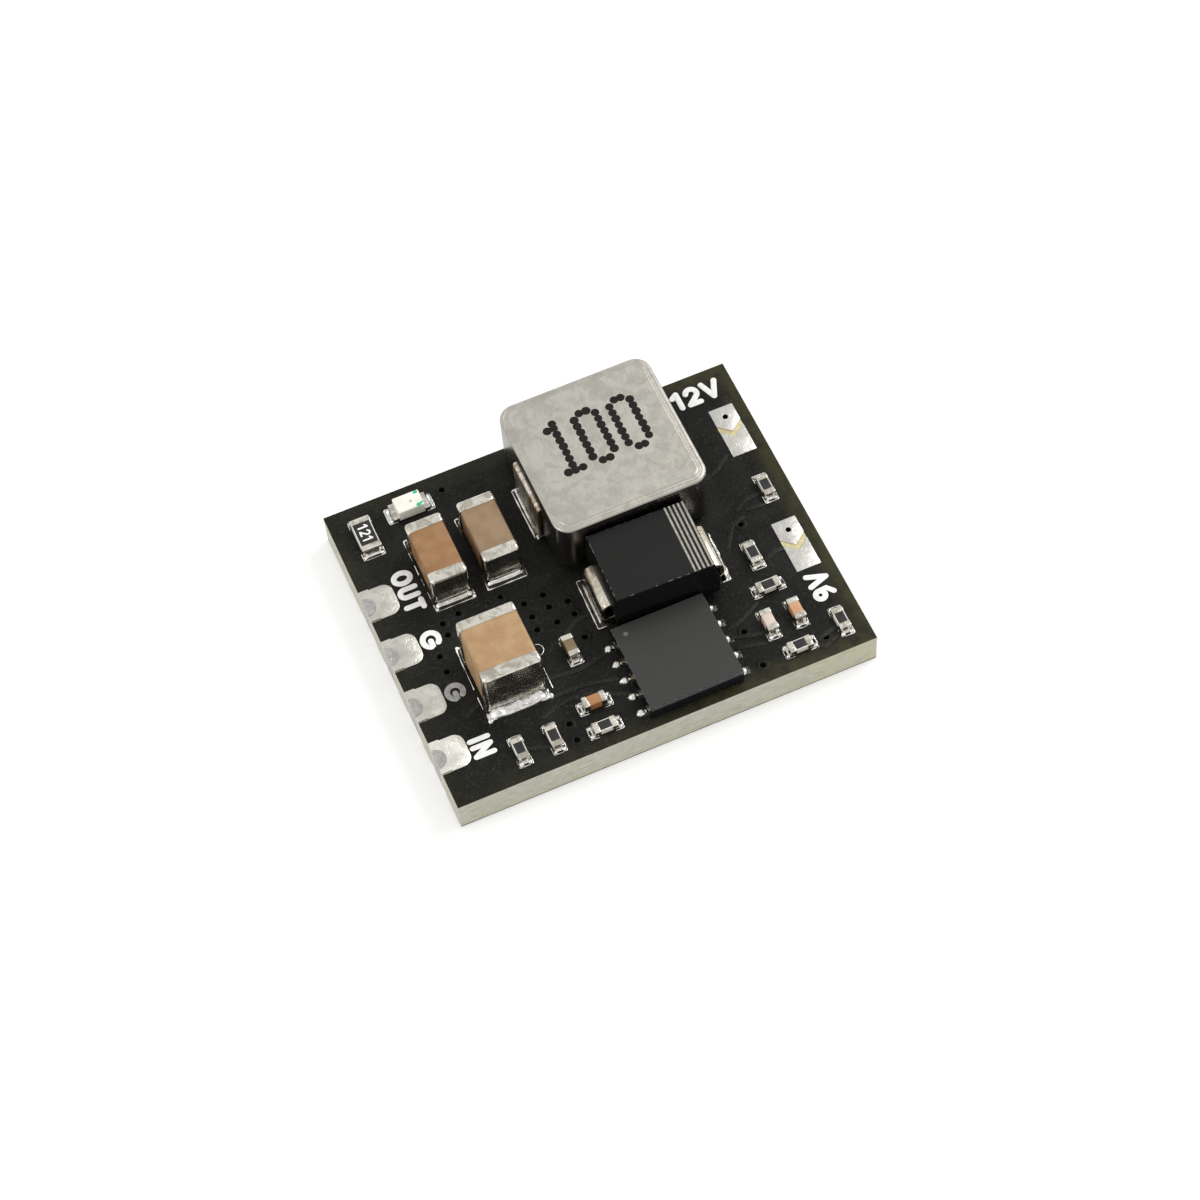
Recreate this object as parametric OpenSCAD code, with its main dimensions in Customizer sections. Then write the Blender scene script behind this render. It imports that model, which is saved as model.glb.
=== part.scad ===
// Step-down power converter module: a small board soldered by its plated edge contacts.
// Millimetres. The origin is the bottom centre of the board, and +Z is the component side.
// Places on the board are measured from its front left corner, +X to the right and +Y to the back.

/* [Board] */
// Thickness of the bare laminate
laminate_thickness = 1.5; // [0.8:0.1:2]
// Thickness of the solder mask on each face
mask_thickness = 0.05; // [0.03:0.01:0.1]
// Width of the bay left of the inductor, for contacts and capacitors
left_bay = 7.85; // [7.5:0.05:10]
// Width of the bay right of the inductor, for the link pads
right_bay = 3.5; // [3.4:0.05:6]
// Bare board in front of the converter chip
front_margin = 0.4; // [0.2:0.05:1.5]
// Bare board behind the inductor
back_margin = 0.03; // [0:0.01:1.5]
// Clear gap between the chip and the diode
chip_gap = 0.05; // [0.05:0.01:1]
// Clear gap between the diode and the inductor
diode_gap = 0.1; // [0.1:0.01:1]
// Height of tinned lands above the solder mask
land_rise = 0.03; // [0.01:0.01:0.1]

/* [Edge contacts] */
// Distance from one edge contact to the next
contact_pitch = 2.54; // [2:0.01:2.7]
// Distance of the first contact from the front edge
contact_start = 2.32; // [1.5:0.01:3]
// Reach of a contact in from the left edge
contact_reach = 1.35; // [1:0.05:1.6]
// Width of a contact along the edge
contact_width = 1.5; // [1.2:0.05:1.8]
// Corner radius of a contact's inner end
contact_corner = 0.42; // [0.1:0.01:0.55]
// Radius of the half-round hole in the board edge
edge_hole_radius = 0.5; // [0.3:0.01:0.55]
// Copper thickness on the wall of each plated hole
plating = 0.06; // [0.04:0.01:0.1]

/* [Link pads] */
// Width of a solder link
link_width = 1.07; // [0.8:0.01:1.4]
// Length of a solder link
link_length = 2.5; // [2:0.05:3]
// Distance of the links from the right edge
link_margin = 0.5; // [0.3:0.05:1.5]
// Slit between the two halves of a link
link_slit = 0.28; // [0.15:0.01:0.4]
// Depth of the V that the slit follows
link_vee = 0.45; // [0.2:0.01:0.6]
// Length of the rear half along its sides
link_head = 0.85; // [0.7:0.05:1.1]
// Place of the 9 V link's front end from the front edge
nine_volt_place = 4.07; // [3.9:0.01:4.5]
// Place of the 12 V link's rear end from the back edge
twelve_volt_place = 2.0; // [1.7:0.01:2.3]

/* [Vias] */
// Radius of the open bore of a via
via_bore = 0.12; // [0.08:0.01:0.18]

/* [Inductor] */
// Length of the inductor, left to right
inductor_length = 6.65; // [5:0.05:7.5]
// Depth of the inductor, front to back
inductor_width = 6.7; // [5:0.05:7.5]
// Height of the moulded core
inductor_height = 2.8; // [2.4:0.1:4]
// Radius of the core's upright corners
inductor_corner = 0.7; // [0.3:0.05:1]
// Rounding of the core's top rim
inductor_rim = 0.12; // [0.05:0.01:0.25]
// Width of the sloping border inside the rim
inductor_border = 0.36; // [0.3:0.02:0.6]
// Fall of the border from the flat top to the rim
inductor_fall = 0.07; // [0.02:0.01:0.15]
// Width of a terminal strip
terminal_width = 2.6; // [2:0.1:3.5]
// Thickness of a terminal strip
terminal_thickness = 0.15; // [0.1:0.01:0.25]
// Height above the board where a terminal leaves the core
terminal_exit = 2.0; // [1:0.1:2.2]
// Length of a terminal's foot under the core
terminal_foot = 1.3; // [0.8:0.1:1.8]
// Radius of a terminal's bends, at the middle of its thickness
terminal_bend = 0.18; // [0.14:0.01:0.25]
// Reach of a terminal's land past its foot
terminal_margin = 0.22; // [0.1:0.01:0.3]
// Outer radius of the coil inside the core
coil_radius = 2.3; // [1.5:0.1:2.4]
// Width of the coil's flat wire
coil_wire_width = 0.8; // [0.5:0.05:1.2]
// Height of one turn of the coil's wire
coil_wire_height = 0.3; // [0.2:0.05:0.35]
// Number of turns in the coil
coil_turns = 5; // [3:1:6]
// Clear gap between the coil and the core pressed around it
coil_gap = 0.02; // [0.01:0.01:0.1]

/* [Diode] */
// Length of the diode's body at its parting line
diode_length = 4.5; // [4:0.05:5]
// Width of the diode's body at its parting line
diode_width = 3.42; // [2.4:0.01:3.9]
// Height of the diode's body
diode_height = 2.15; // [1.8:0.05:2.4]
// How far the top and bottom faces draw in from the parting line
diode_draft = 0.08; // [0.02:0.01:0.15]
// Distance of the body from the left bay
diode_inset = 0.95; // [0.7:0.05:1.5]
// Turn of the diode on its lands, in degrees
diode_turn = -1.5; // [-2:0.5:2]
// Width of a lead
lead_width = 2.05; // [1.4:0.05:2.2]
// Thickness of a lead
lead_thickness = 0.2; // [0.15:0.01:0.25]
// Reach of a lead past the body
lead_reach = 0.46; // [0.4:0.01:0.6]
// Length of a lead's foot
lead_foot = 1.2; // [0.8:0.1:1.5]
// Radius of a lead's bends, at the middle of its thickness
lead_bend = 0.38; // [0.15:0.01:0.4]
// How far a lead leans outwards on its way down
lead_lean = 0.08; // [0:0.01:0.12]
// Reach of a lead's land past its foot
lead_margin = 0.2; // [0.1:0.01:0.3]

/* [Converter chip] */
// Side of the square chip
chip_size = 4; // [3:0.1:5]
// Height of the chip
chip_height = 0.75; // [0.6:0.05:1]
// Distance of the chip from the left bay
chip_inset = 0.55; // [0.4:0.05:1]
// Distance from one pin to the next
pin_pitch = 0.8; // [0.5:0.05:0.9]
// Pins along each side
pins_per_side = 5; // [3:1:5]
// Width of a pin
pin_width = 0.3; // [0.2:0.01:0.35]
// Length of a pin under the chip
pin_length = 0.4; // [0.25:0.05:0.5]
// Height of a pin on the chip's side wall
pin_height = 0.2; // [0.1:0.01:0.3]
// Width of the heat pad under the chip
heat_pad_width = 2.4; // [1.2:0.1:2.6]
// Length of the heat pad under the chip
heat_pad_length = 3; // [2:0.1:3.4]
// Reach of the solder past the chip
chip_solder_reach = 0.42; // [0.2:0.01:0.5]

/* [Power capacitors] */
// Length of the input capacitor, end to end
input_cap_length = 3; // [2.8:0.1:3.4]
// Width of the input capacitor
input_cap_width = 2.5; // [2.2:0.1:2.8]
// Height of the input capacitor
input_cap_height = 2.6; // [1.8:0.1:2.8]
// Length of an output capacitor, end to end
output_cap_length = 3.1; // [2.8:0.1:3.4]
// Width of an output capacitor
output_cap_width = 1.6; // [1.4:0.1:1.8]
// Height of an output capacitor
output_cap_height = 1.7; // [1:0.1:1.9]
// Length of the metal at each end of a power capacitor
cap_end = 0.5; // [0.3:0.05:0.7]
// Thickness of the metal on a power capacitor
cap_plating = 0.05; // [0.03:0.01:0.08]
// Rounding of a power capacitor's edges
cap_rounding = 0.16; // [0.12:0.01:0.2]
// Reach of the solder past a power capacitor
cap_solder_reach = 0.32; // [0.2:0.01:0.45]
// Climb of the solder up a power capacitor's end
cap_solder_climb = 0.28; // [0.1:0.01:0.8]

/* [Small parts] */
// Length of a small capacitor or resistor
small_length = 1; // [0.9:0.05:1.1]
// Width of a small capacitor or resistor
small_width = 0.5; // [0.4:0.05:0.6]
// Height of a small capacitor
small_cap_height = 0.5; // [0.4:0.05:0.6]
// Height of a small resistor
small_resistor_height = 0.32; // [0.25:0.01:0.4]
// Length of the metal at each end of a small part
small_end = 0.25; // [0.15:0.01:0.3]
// Thickness of the metal on a small part
small_plating = 0.03; // [0.02:0.005:0.04]
// Reach of the solder past a small part
small_solder_reach = 0.22; // [0.15:0.01:0.25]
// Climb of the solder up a small part's end
small_solder_climb = 0.12; // [0.05:0.01:0.25]
// Length of the lamp's series resistor
lamp_resistor_length = 1.6; // [1.4:0.05:1.8]
// Width of the lamp's series resistor
lamp_resistor_width = 0.85; // [0.7:0.05:0.95]
// Height of the lamp's series resistor
lamp_resistor_height = 0.42; // [0.35:0.01:0.55]

/* [Lamp] */
// Length of the lamp's base
lamp_length = 1.6; // [1.5:0.05:1.8]
// Width of the lamp's base
lamp_width = 0.8; // [0.7:0.05:0.9]
// Thickness of the lamp's base
lamp_base_height = 0.25; // [0.15:0.01:0.35]
// Height of the whole lamp
lamp_height = 0.6; // [0.45:0.01:0.8]
// Length of the lamp's lens
lamp_lens_length = 1.16; // [1:0.01:1.2]
// Place of the lamp from the back edge
lamp_place = 1.12; // [0.9:0.01:1.5]

/* [Hidden] */
$fn = 48;
cut = 0.5; // how far a cutting shape runs past the face it opens
bend_steps = 8; // facets round a bend of a strip

board_length = left_bay + inductor_length + right_bay;
board_width = front_margin + chip_size + chip_gap + diode_width + diode_gap + inductor_width + back_margin;
board_thickness = laminate_thickness + 2 * mask_thickness;
land_thickness = mask_thickness + land_rise;

contact_names = ["input_contact", "input_ground_contact", "output_ground_contact", "output_contact"];
contact_places = [for (i = [0 : len(contact_names) - 1]) contact_start + i * contact_pitch];
link_x = board_length - link_margin - link_width / 2;
link_ends = [nine_volt_place + link_length, board_width - twelve_volt_place];
link_via_back = 0.52;

chip_x = left_bay + chip_inset + chip_size / 2;
chip_y = front_margin + chip_size / 2;
diode_x = left_bay + diode_inset + diode_length / 2;
diode_y = front_margin + chip_size + chip_gap + diode_width / 2;
inductor_x = left_bay + inductor_length / 2;
inductor_y = board_width - back_margin - inductor_width / 2;
inductor_base = land_rise + terminal_thickness;
core_border = min(inductor_border, inductor_corner * 0.9);
coil_height = coil_turns * coil_wire_height;
coil_base = inductor_base + (inductor_height - coil_height) / 2;
diode_base = land_rise + lead_thickness;
diode_parting = diode_base + diode_height * 0.45;

// finish of a chip part's ends: length and thickness of the metal, reach and climb of the solder
power_ends = [cap_end, cap_plating, cap_solder_reach, cap_solder_climb];
small_ends = [small_end, small_plating, small_solder_reach, small_solder_climb];
// size of a chip part: length, width, height and the finish of its ends
input_cap = concat([input_cap_length, input_cap_width, input_cap_height], power_ends);
output_cap = concat([output_cap_length, output_cap_width, output_cap_height], power_ends);
small_cap = concat([small_length, small_width, small_cap_height], small_ends);
small_resistor = concat([small_length, small_width, small_resistor_height], small_ends);
lamp_resistor = concat([lamp_resistor_length, lamp_resistor_width, lamp_resistor_height], small_ends);

// place of a chip part: name, size, x, y and the turn of its length from +X
power_caps = [
    ["input_capacitor", input_cap, 3.9, 4.78, 90],
    ["output_capacitor_left", output_cap, 3.42, 10.38, 90],
    ["output_capacitor_right", output_cap, 5.7, 10.44, 90]
];
right = board_length;
small_caps = [
    ["small_capacitor_1", small_cap, 6.62, 1.94, 0],
    ["small_capacitor_2", small_cap, 6.74, 4.6, 90],
    ["small_capacitor_3", small_cap, right - 3.64, 2.32, 90],
    ["small_capacitor_4", small_cap, right - 2.43, 2.34, 90]
];
resistors = [
    ["lamp_resistor", lamp_resistor, 1.26, board_width - 1.68, 90],
    ["resistor_1", small_resistor, 3.15, 1.26, 90],
    ["resistor_2", small_resistor, 4.58, 1.22, 90],
    ["resistor_3", small_resistor, 6.58, 0.8, 0],
    ["resistor_4", small_resistor, right - 1.02, 8.27, 90],
    ["resistor_5", small_resistor, right - 2.85, 5.55, 90],
    ["resistor_6", small_resistor, right - 2.94, 3.9, 0],
    ["resistor_7", small_resistor, right - 0.98, 1.26, 90],
    ["resistor_8", small_resistor, right - 2.96, 0.86, 0]
];
chip_parts = concat(power_caps, small_caps, resistors);
lamp_x = 3.38;
lamp_y = board_width - lamp_place;

// small plated holes between the two faces, away from the lands
vias = [
    [2.58, 7.94], [1.9, 6.57], [1.9, 5.8], [2.57, 7.37], [3.32, 8.12], [4.5, 8.08], [5.12, 8.12],
    [5.89, 7.41], [6.75, 7.47], [5.94, 6.71], [6.75, 6.84], [7.55, 6.78],
    [5.89, 6.06], [6.77, 6.06], [7.55, 6.11], [7.5, 4.95], [5.37, 1.58], [5.37, 0.79],
    [right - 4.67, 2.46], [right - 4.63, 0.76], [right - 1.82, 0.86], [right - 2.67, 7.12],
    [4.93, board_width - 0.8]
];

// ---------- placing ----------

// children stand on the solder mask at a place measured from the front left corner
module on_board(x, y, turn = 0) {
    translate([x - board_length / 2, y - board_width / 2, board_thickness]) rotate([0, 0, turn]) children();
}

module at_part(part) {
    on_board(part[2], part[3], part[4]) children();
}

module both_ends() {
    children();
    mirror([1, 0, 0]) children();
}

// ---------- shared shapes ----------

// upright section on the X axis, with its top and bottom corners rounded; its flat top may
// fall away along a sloping border
module soft_section(width, height, top, bottom, border = 0, fall = 0) {
    half = width / 2;
    rim = height - fall;
    if (top > 0)
        for (s = [-1, 1]) translate([s * (half - top), rim - top]) circle(top);
    if (bottom > 0)
        for (s = [-1, 1]) translate([s * (half - bottom), bottom]) circle(bottom);
    translate([-half + bottom, 0]) square([width - 2 * bottom, rim - top]);
    translate([-half + top, bottom]) square([width - 2 * top, rim - bottom]);
    if (fall > 0)
        polygon([[-half + top, rim - top], [half - top, rim - top], [half - top, rim],
            [half - border, height], [-half + border, height], [-half + top, rim]]);
}

// block with rounded upright corners, a rounded rim and a sloping border round its flat top
module soft_block(length, width, height, corner, top, border, fall) {
    for (x = [-1, 1], y = [-1, 1])
        translate([x * (length / 2 - corner), y * (width / 2 - corner), 0])
            rotate_extrude()
                intersection() {
                    soft_section(2 * corner, height, top, 0, border, fall);
                    square([corner, height]);
                }
    rotate([90, 0, 90]) linear_extrude(length - 2 * corner, center = true)
        soft_section(width, height, top, 0, border, fall);
    rotate([90, 0, 0]) linear_extrude(width - 2 * corner, center = true)
        soft_section(length, height, top, 0, border, fall);
}

module rounded_rectangle(length, width, corner) {
    square([length - 2 * corner, width], center = true);
    square([length, width - 2 * corner], center = true);
    for (x = [-1, 1], y = [-1, 1])
        translate([x * (length / 2 - corner), y * (width / 2 - corner)]) circle(corner);
}

function unit(v) = v / norm(v);
function left_of(v) = [-v[1], v[0]] / norm(v);
function turned(v, angle) = [v[0] * cos(angle) - v[1] * sin(angle), v[0] * sin(angle) + v[1] * cos(angle)];

// points round a bend of a path, some way to the left of the path itself
function bend_points(path, i, radius, offset) =
    let (back = unit(path[i - 1] - path[i]), ahead = unit(path[i + 1] - path[i]),
        half = acos(back * ahead) / 2, hand = sign(cross(-back, ahead)),
        middle = path[i] + unit(back + ahead) * radius / sin(half),
        start = path[i] + back * radius / tan(half) - middle)
    [for (k = [0 : bend_steps])
        middle + (1 - hand * offset / radius) * turned(start, hand * (180 - 2 * half) * k / bend_steps)];

// one long side of a strip, some way to the left of its middle line
function strip_side(path, radius, offset) =
    let (last = len(path) - 1)
    concat([path[0] + offset * left_of(path[1] - path[0])],
        [for (i = [1 : last - 1], p = bend_points(path, i, radius, offset)) p],
        [path[last] + offset * left_of(path[last] - path[last - 1])]);

// a flat strip of some width, bent in the plane of X and Z to a radius at each corner of its path
module bent_strip(path, thickness, width, radius) {
    left = strip_side(path, radius, thickness / 2);
    right = strip_side(path, radius, -thickness / 2);
    rotate([90, 0, 0]) linear_extrude(width, center = true)
        polygon(concat(left, [for (i = [len(right) - 1 : -1 : 0]) right[i]]));
}

// ---------- board ----------

module contact_outline() {
    intersection() {
        union() {
            rounded_rectangle(2 * contact_reach, contact_width, contact_corner);
            translate([0, edge_hole_radius / 10]) square([2 * contact_corner, contact_width], center = true);
        }
        translate([0, -contact_width]) square([contact_reach + cut, 2 * contact_width]);
    }
}

module link_halves() {
    half = link_width / 2;
    difference() {
        polygon([[-half, 0], [half, 0], [half, -link_head], [0, -link_head - link_vee], [-half, -link_head]]);
        translate([0, -link_via_back]) circle(via_bore);
    }
    slit_end = -link_head - link_slit;
    polygon([[-half, slit_end], [0, slit_end - link_vee], [half, slit_end],
        [half, -link_length], [-half, -link_length]]);
}

module link_window() {
    translate([-link_width / 2, -link_length]) square([link_width, link_length]);
}

module each_via() {
    for (v = vias) on_board(v[0], v[1]) children();
    for (y = link_ends) on_board(link_x, y - link_via_back) children();
}

// a plated bore reaches down through the whole board from the mask's top face
module through_board(radius) {
    translate([0, 0, -board_thickness - cut]) cylinder(board_thickness + 2 * cut, r = radius);
}

module board_slab(height) {
    translate([-board_length / 2, -board_width / 2, 0]) cube([board_length, board_width, height]);
}

module laminate() {
    color([0.82, 0.78, 0.64])
    difference() {
        translate([0, 0, mask_thickness]) board_slab(laminate_thickness);
        for (y = contact_places) on_board(0, y) through_board(edge_hole_radius);
        each_via() through_board(via_bore + plating);
    }
}

module contact_windows() {
    for (y = contact_places) on_board(0, y) translate([0, 0, -board_thickness - cut])
        linear_extrude(board_thickness + 2 * cut) translate([-cut, 0]) union() {
            translate([cut, 0]) contact_outline();
            translate([0, edge_hole_radius / 10 - contact_width / 2]) square([cut, contact_width]);
        }
}

module top_mask() {
    color([0.13, 0.13, 0.12])
    difference() {
        translate([0, 0, board_thickness - mask_thickness]) board_slab(mask_thickness);
        contact_windows();
        each_via() through_board(via_bore);
        for (y = link_ends) on_board(link_x, y) translate([0, 0, -board_thickness / 2])
            linear_extrude(board_thickness) link_window();
        lands(board_thickness);
    }
}

module bottom_mask() {
    color([0.13, 0.13, 0.12])
    difference() {
        board_slab(mask_thickness);
        contact_windows();
        each_via() through_board(via_bore);
    }
}

// one contact: a plate on each face, joined by the plated wall of the half-round hole
module edge_contact(y) {
    color([0.8, 0.79, 0.75])
    on_board(0, y) difference() {
        union() {
            translate([0, 0, -mask_thickness]) linear_extrude(land_thickness) contact_outline();
            translate([0, 0, -board_thickness]) linear_extrude(mask_thickness) contact_outline();
            translate([0, 0, -board_thickness]) half_round(edge_hole_radius, board_thickness);
        }
        through_board(edge_hole_radius - plating);
    }
}

module half_round(radius, height) {
    intersection() {
        cylinder(height, r = radius);
        translate([0, -radius, 0]) cube([radius, 2 * radius, height]);
    }
}

module contact_fills() {
    color([0.66, 0.65, 0.63])
    for (y = contact_places)
        on_board(0, y) translate([0, 0, -board_thickness])
            half_round(edge_hole_radius - plating, board_thickness + land_rise);
}

module via_barrels() {
    color([0.72, 0.6, 0.42])
    each_via() translate([0, 0, -board_thickness + mask_thickness]) difference() {
        cylinder(laminate_thickness, r = via_bore + plating);
        through_board(via_bore);
        cylinder(laminate_thickness, r = via_bore);
    }
}

module solder_link(y) {
    color([0.82, 0.8, 0.77])
    on_board(link_x, y) translate([0, 0, -mask_thickness]) linear_extrude(land_thickness) link_halves();
}

// ---------- inductor ----------

// the room that the core leaves for its coil
module coil_room() {
    translate([0, 0, coil_base - coil_gap]) difference() {
        cylinder(coil_height + 2 * coil_gap, r = coil_radius + coil_gap);
        translate([0, 0, -cut]) cylinder(coil_height + 2 * cut, r = coil_radius - coil_wire_width - coil_gap);
    }
}

// turns of flat wire, one on another, with a nick between them
module coil() {
    inner = coil_radius - coil_wire_width;
    nick = coil_wire_height / 8;
    translate([0, 0, coil_base]) rotate_extrude() {
        translate([inner + nick, 0]) square([coil_wire_width - 2 * nick, coil_height]);
        for (i = [0 : coil_turns - 1])
            translate([inner, i * coil_wire_height + nick])
                square([coil_wire_width, coil_wire_height - 2 * nick]);
    }
}

module terminal() {
    wall = inductor_length / 2 + terminal_thickness / 2;
    exit = terminal_exit - terminal_thickness / 2;
    foot = land_rise + terminal_thickness / 2;
    start = coil_radius - coil_wire_width / 2;
    bent_strip([[start, exit], [wall, exit], [wall, foot], [wall - terminal_foot, foot]],
        terminal_thickness, terminal_width, terminal_bend);
}

module inductor_core() {
    color([0.74, 0.73, 0.7])
    on_board(inductor_x, inductor_y) difference() {
        translate([0, 0, inductor_base])
            soft_block(inductor_length, inductor_width, inductor_height, inductor_corner, inductor_rim,
                core_border, inductor_fall);
        coil_room();
        both_ends() terminal();
    }
}

module inductor_coil() {
    color([0.72, 0.42, 0.24])
    on_board(inductor_x, inductor_y) difference() {
        coil();
        both_ends() terminal();
    }
}

module inductor_left_terminal() {
    color([0.78, 0.77, 0.74]) on_board(inductor_x, inductor_y, 180) terminal();
}

module inductor_right_terminal() {
    color([0.78, 0.77, 0.74]) on_board(inductor_x, inductor_y) terminal();
}

// ---------- diode ----------

// side view of the body: widest at the parting line, drawn in towards its top and bottom
module diode_section(width) {
    half = width / 2;
    face = half - diode_draft;
    top = diode_base + diode_height;
    polygon([[-face, diode_base], [face, diode_base], [half, diode_parting],
        [face, top], [-face, top], [-half, diode_parting]]);
}

module lead() {
    inside = diode_length / 2 - lead_thickness * 2;
    outside = diode_length / 2 + lead_reach - lead_thickness / 2;
    foot = land_rise + lead_thickness / 2;
    shoulder = diode_parting - lead_thickness / 2;
    bent_strip([[inside, shoulder], [outside - lead_lean, shoulder], [outside, foot],
        [outside - lead_foot, foot]], lead_thickness, lead_width, lead_bend);
}

module diode_body() {
    color([0.2, 0.2, 0.2])
    on_board(diode_x, diode_y, diode_turn) difference() {
        intersection() {
            rotate([90, 0, 0]) linear_extrude(diode_width, center = true) diode_section(diode_length);
            rotate([90, 0, 90]) linear_extrude(diode_length, center = true) diode_section(diode_width);
        }
        both_ends() lead();
    }
}

module diode_left_lead() {
    color([0.8, 0.79, 0.75]) on_board(diode_x, diode_y, diode_turn) mirror([1, 0, 0]) lead();
}

module diode_right_lead() {
    color([0.8, 0.79, 0.75]) on_board(diode_x, diode_y, diode_turn) lead();
}

// ---------- converter chip ----------

module pin_rows() {
    both_ends()
        for (i = [0 : pins_per_side - 1])
            translate([chip_size / 2, (i - (pins_per_side - 1) / 2) * pin_pitch, land_rise]) children();
}

module pins() {
    pin_rows() translate([-pin_length, -pin_width / 2, 0]) cube([pin_length, pin_width, pin_height]);
}

module heat_pad() {
    translate([-heat_pad_width / 2, -heat_pad_length / 2, land_rise])
        cube([heat_pad_width, heat_pad_length, pin_height]);
}

module converter_chip() {
    color([0.26, 0.26, 0.26])
    on_board(chip_x, chip_y) difference() {
        translate([-chip_size / 2, -chip_size / 2, land_rise]) cube([chip_size, chip_size, chip_height]);
        pins();
        heat_pad();
    }
}

module chip_pins() {
    color([0.82, 0.81, 0.78]) on_board(chip_x, chip_y) pins();
}

module chip_heat_pad() {
    color([0.82, 0.81, 0.78]) on_board(chip_x, chip_y) heat_pad();
}

// ---------- chip parts ----------

// a bar along X with rounded long edges and rounded upright corners, inset on every side
module soft_bar(size, rounding, inset) {
    length = size[0] - 2 * inset;
    width = size[1] - 2 * inset;
    height = size[2] - 2 * inset;
    translate([0, 0, land_rise + inset]) intersection() {
        rotate([90, 0, 90]) linear_extrude(length, center = true)
            soft_section(width, height, rounding, rounding);
        linear_extrude(height) rounded_rectangle(length, width, rounding);
    }
}

module chip_box(size, inset) {
    translate([-size[0] / 2 + inset, -size[1] / 2 + inset, land_rise + inset])
        cube([size[0] - 2 * inset, size[1] - 2 * inset, size[2] - 2 * inset]);
}

module end_zone(size) {
    both_ends() translate([size[0] / 2 - size[3], -size[1], 0]) cube([size[0], 2 * size[1], 2 * size[2]]);
}

module power_capacitor(part) {
    color([0.76, 0.6, 0.42]) at_part(part) soft_bar(part[1], cap_rounding, part[1][4]);
}

module power_capacitor_ends(part) {
    color([0.86, 0.85, 0.8])
    at_part(part) difference() {
        intersection() {
            soft_bar(part[1], cap_rounding, 0);
            end_zone(part[1]);
        }
        soft_bar(part[1], cap_rounding, part[1][4]);
    }
}

module small_capacitor(part) {
    color([0.72, 0.52, 0.32]) at_part(part) chip_box(part[1], part[1][4]);
}

// the resistor's ceramic is bare on its sides, with a dark coat let into its top
module coat(size) {
    metal = size[4];
    translate([-size[0] / 2 + size[3], -size[1] / 2 + metal, land_rise + size[2] - 2 * metal])
        cube([size[0] - 2 * size[3], size[1] - 2 * metal, metal]);
}

module resistor(part) {
    color([0.9, 0.89, 0.86])
    at_part(part) difference() {
        chip_box(part[1], part[1][4]);
        coat(part[1]);
    }
}

module resistor_coats() {
    color([0.1, 0.1, 0.1]) for (part = resistors) at_part(part) coat(part[1]);
}

module chip_ends(part) {
    color([0.86, 0.85, 0.82])
    at_part(part) difference() {
        intersection() {
            chip_box(part[1], 0);
            end_zone(part[1]);
        }
        chip_box(part[1], part[1][4]);
    }
}

// ---------- lamp ----------

module lamp_end_notches() {
    both_ends() translate([lamp_length / 2, 0, 0]) cylinder(lamp_base_height + cut, r = lamp_width / 4);
}

module lamp_base() {
    color([0.93, 0.92, 0.86])
    on_board(lamp_x, lamp_y) difference() {
        translate([-lamp_length / 2 + plating, -lamp_width / 2, land_rise + plating])
            cube([lamp_length - 2 * plating, lamp_width, lamp_base_height - 2 * plating]);
        lamp_end_notches();
    }
}

module lamp_lens() {
    base = land_rise + lamp_base_height - plating;
    slope = lamp_lens_length / 12;
    half = lamp_lens_length / 2;
    color([0.95, 0.95, 0.88])
    on_board(lamp_x, lamp_y) rotate([90, 0, 0]) linear_extrude(lamp_width, center = true)
        polygon([[-half, base], [half, base], [half - slope, land_rise + lamp_height],
            [-half + slope, land_rise + lamp_height]]);
}

// each end wraps over, behind and under the base, and follows its half-round notch
module lamp_ends() {
    wrap = (lamp_length - lamp_lens_length) / 2;
    color([0.86, 0.85, 0.82])
    on_board(lamp_x, lamp_y) difference() {
        both_ends() translate([lamp_length / 2 - wrap, -lamp_width / 2, land_rise])
            cube([wrap, lamp_width, lamp_base_height]);
        translate([-lamp_length / 2 + plating, -lamp_width, land_rise + plating])
            cube([lamp_length - 2 * plating, 2 * lamp_width, lamp_base_height - 2 * plating]);
        lamp_end_notches();
    }
}

// ---------- solder ----------

// solder under and beside one end of a chip part, rising on its end wall
module chip_end_solder(length, width, wrap, reach, climb) {
    translate([length / 2 - wrap, -width / 2, -mask_thickness]) cube([wrap + reach, width, land_thickness]);
    translate([length / 2, 0, 0]) rotate([90, 0, 0]) linear_extrude(width - reach / 2, center = true)
        polygon([[0, 0], [reach, 0], [reach, land_rise], [0, land_rise + climb]]);
}

module part_solder(part) {
    size = part[1];
    at_part(part) both_ends()
        chip_end_solder(size[0], size[1] + size[5] / 2, size[3], size[5], size[6]);
}

module lamp_solder() {
    wrap = (lamp_length - lamp_lens_length) / 2;
    on_board(lamp_x, lamp_y) both_ends()
        chip_end_solder(lamp_length, lamp_width, wrap, small_solder_reach, small_solder_climb);
}

// solder in the heel of a bent strip, from under its bend to some way up its outer face
module heel_solder(outside, thickness, width, bend, reach, climb) {
    middle = [outside - thickness / 2 - bend, land_rise + thickness / 2 + bend];
    rotate([90, 0, 0]) linear_extrude(width, center = true)
        polygon(concat(
            [[middle[0], 0], [outside + reach, 0], [outside + reach, land_rise], [outside, land_rise + climb]],
            [for (a = [0, -45, -90]) middle + bend * [cos(a), sin(a)]]));
}

module lead_solder() {
    outside = diode_length / 2 + lead_reach;
    on_board(diode_x, diode_y, diode_turn) both_ends() difference() {
        union() {
            translate([outside - lead_foot, -lead_width / 2 - lead_margin, -mask_thickness])
                cube([lead_foot + lead_margin, lead_width + 2 * lead_margin, land_thickness]);
            heel_solder(outside, lead_thickness, lead_width, lead_bend, lead_margin, lead_thickness);
        }
        lead();
    }
}

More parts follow.
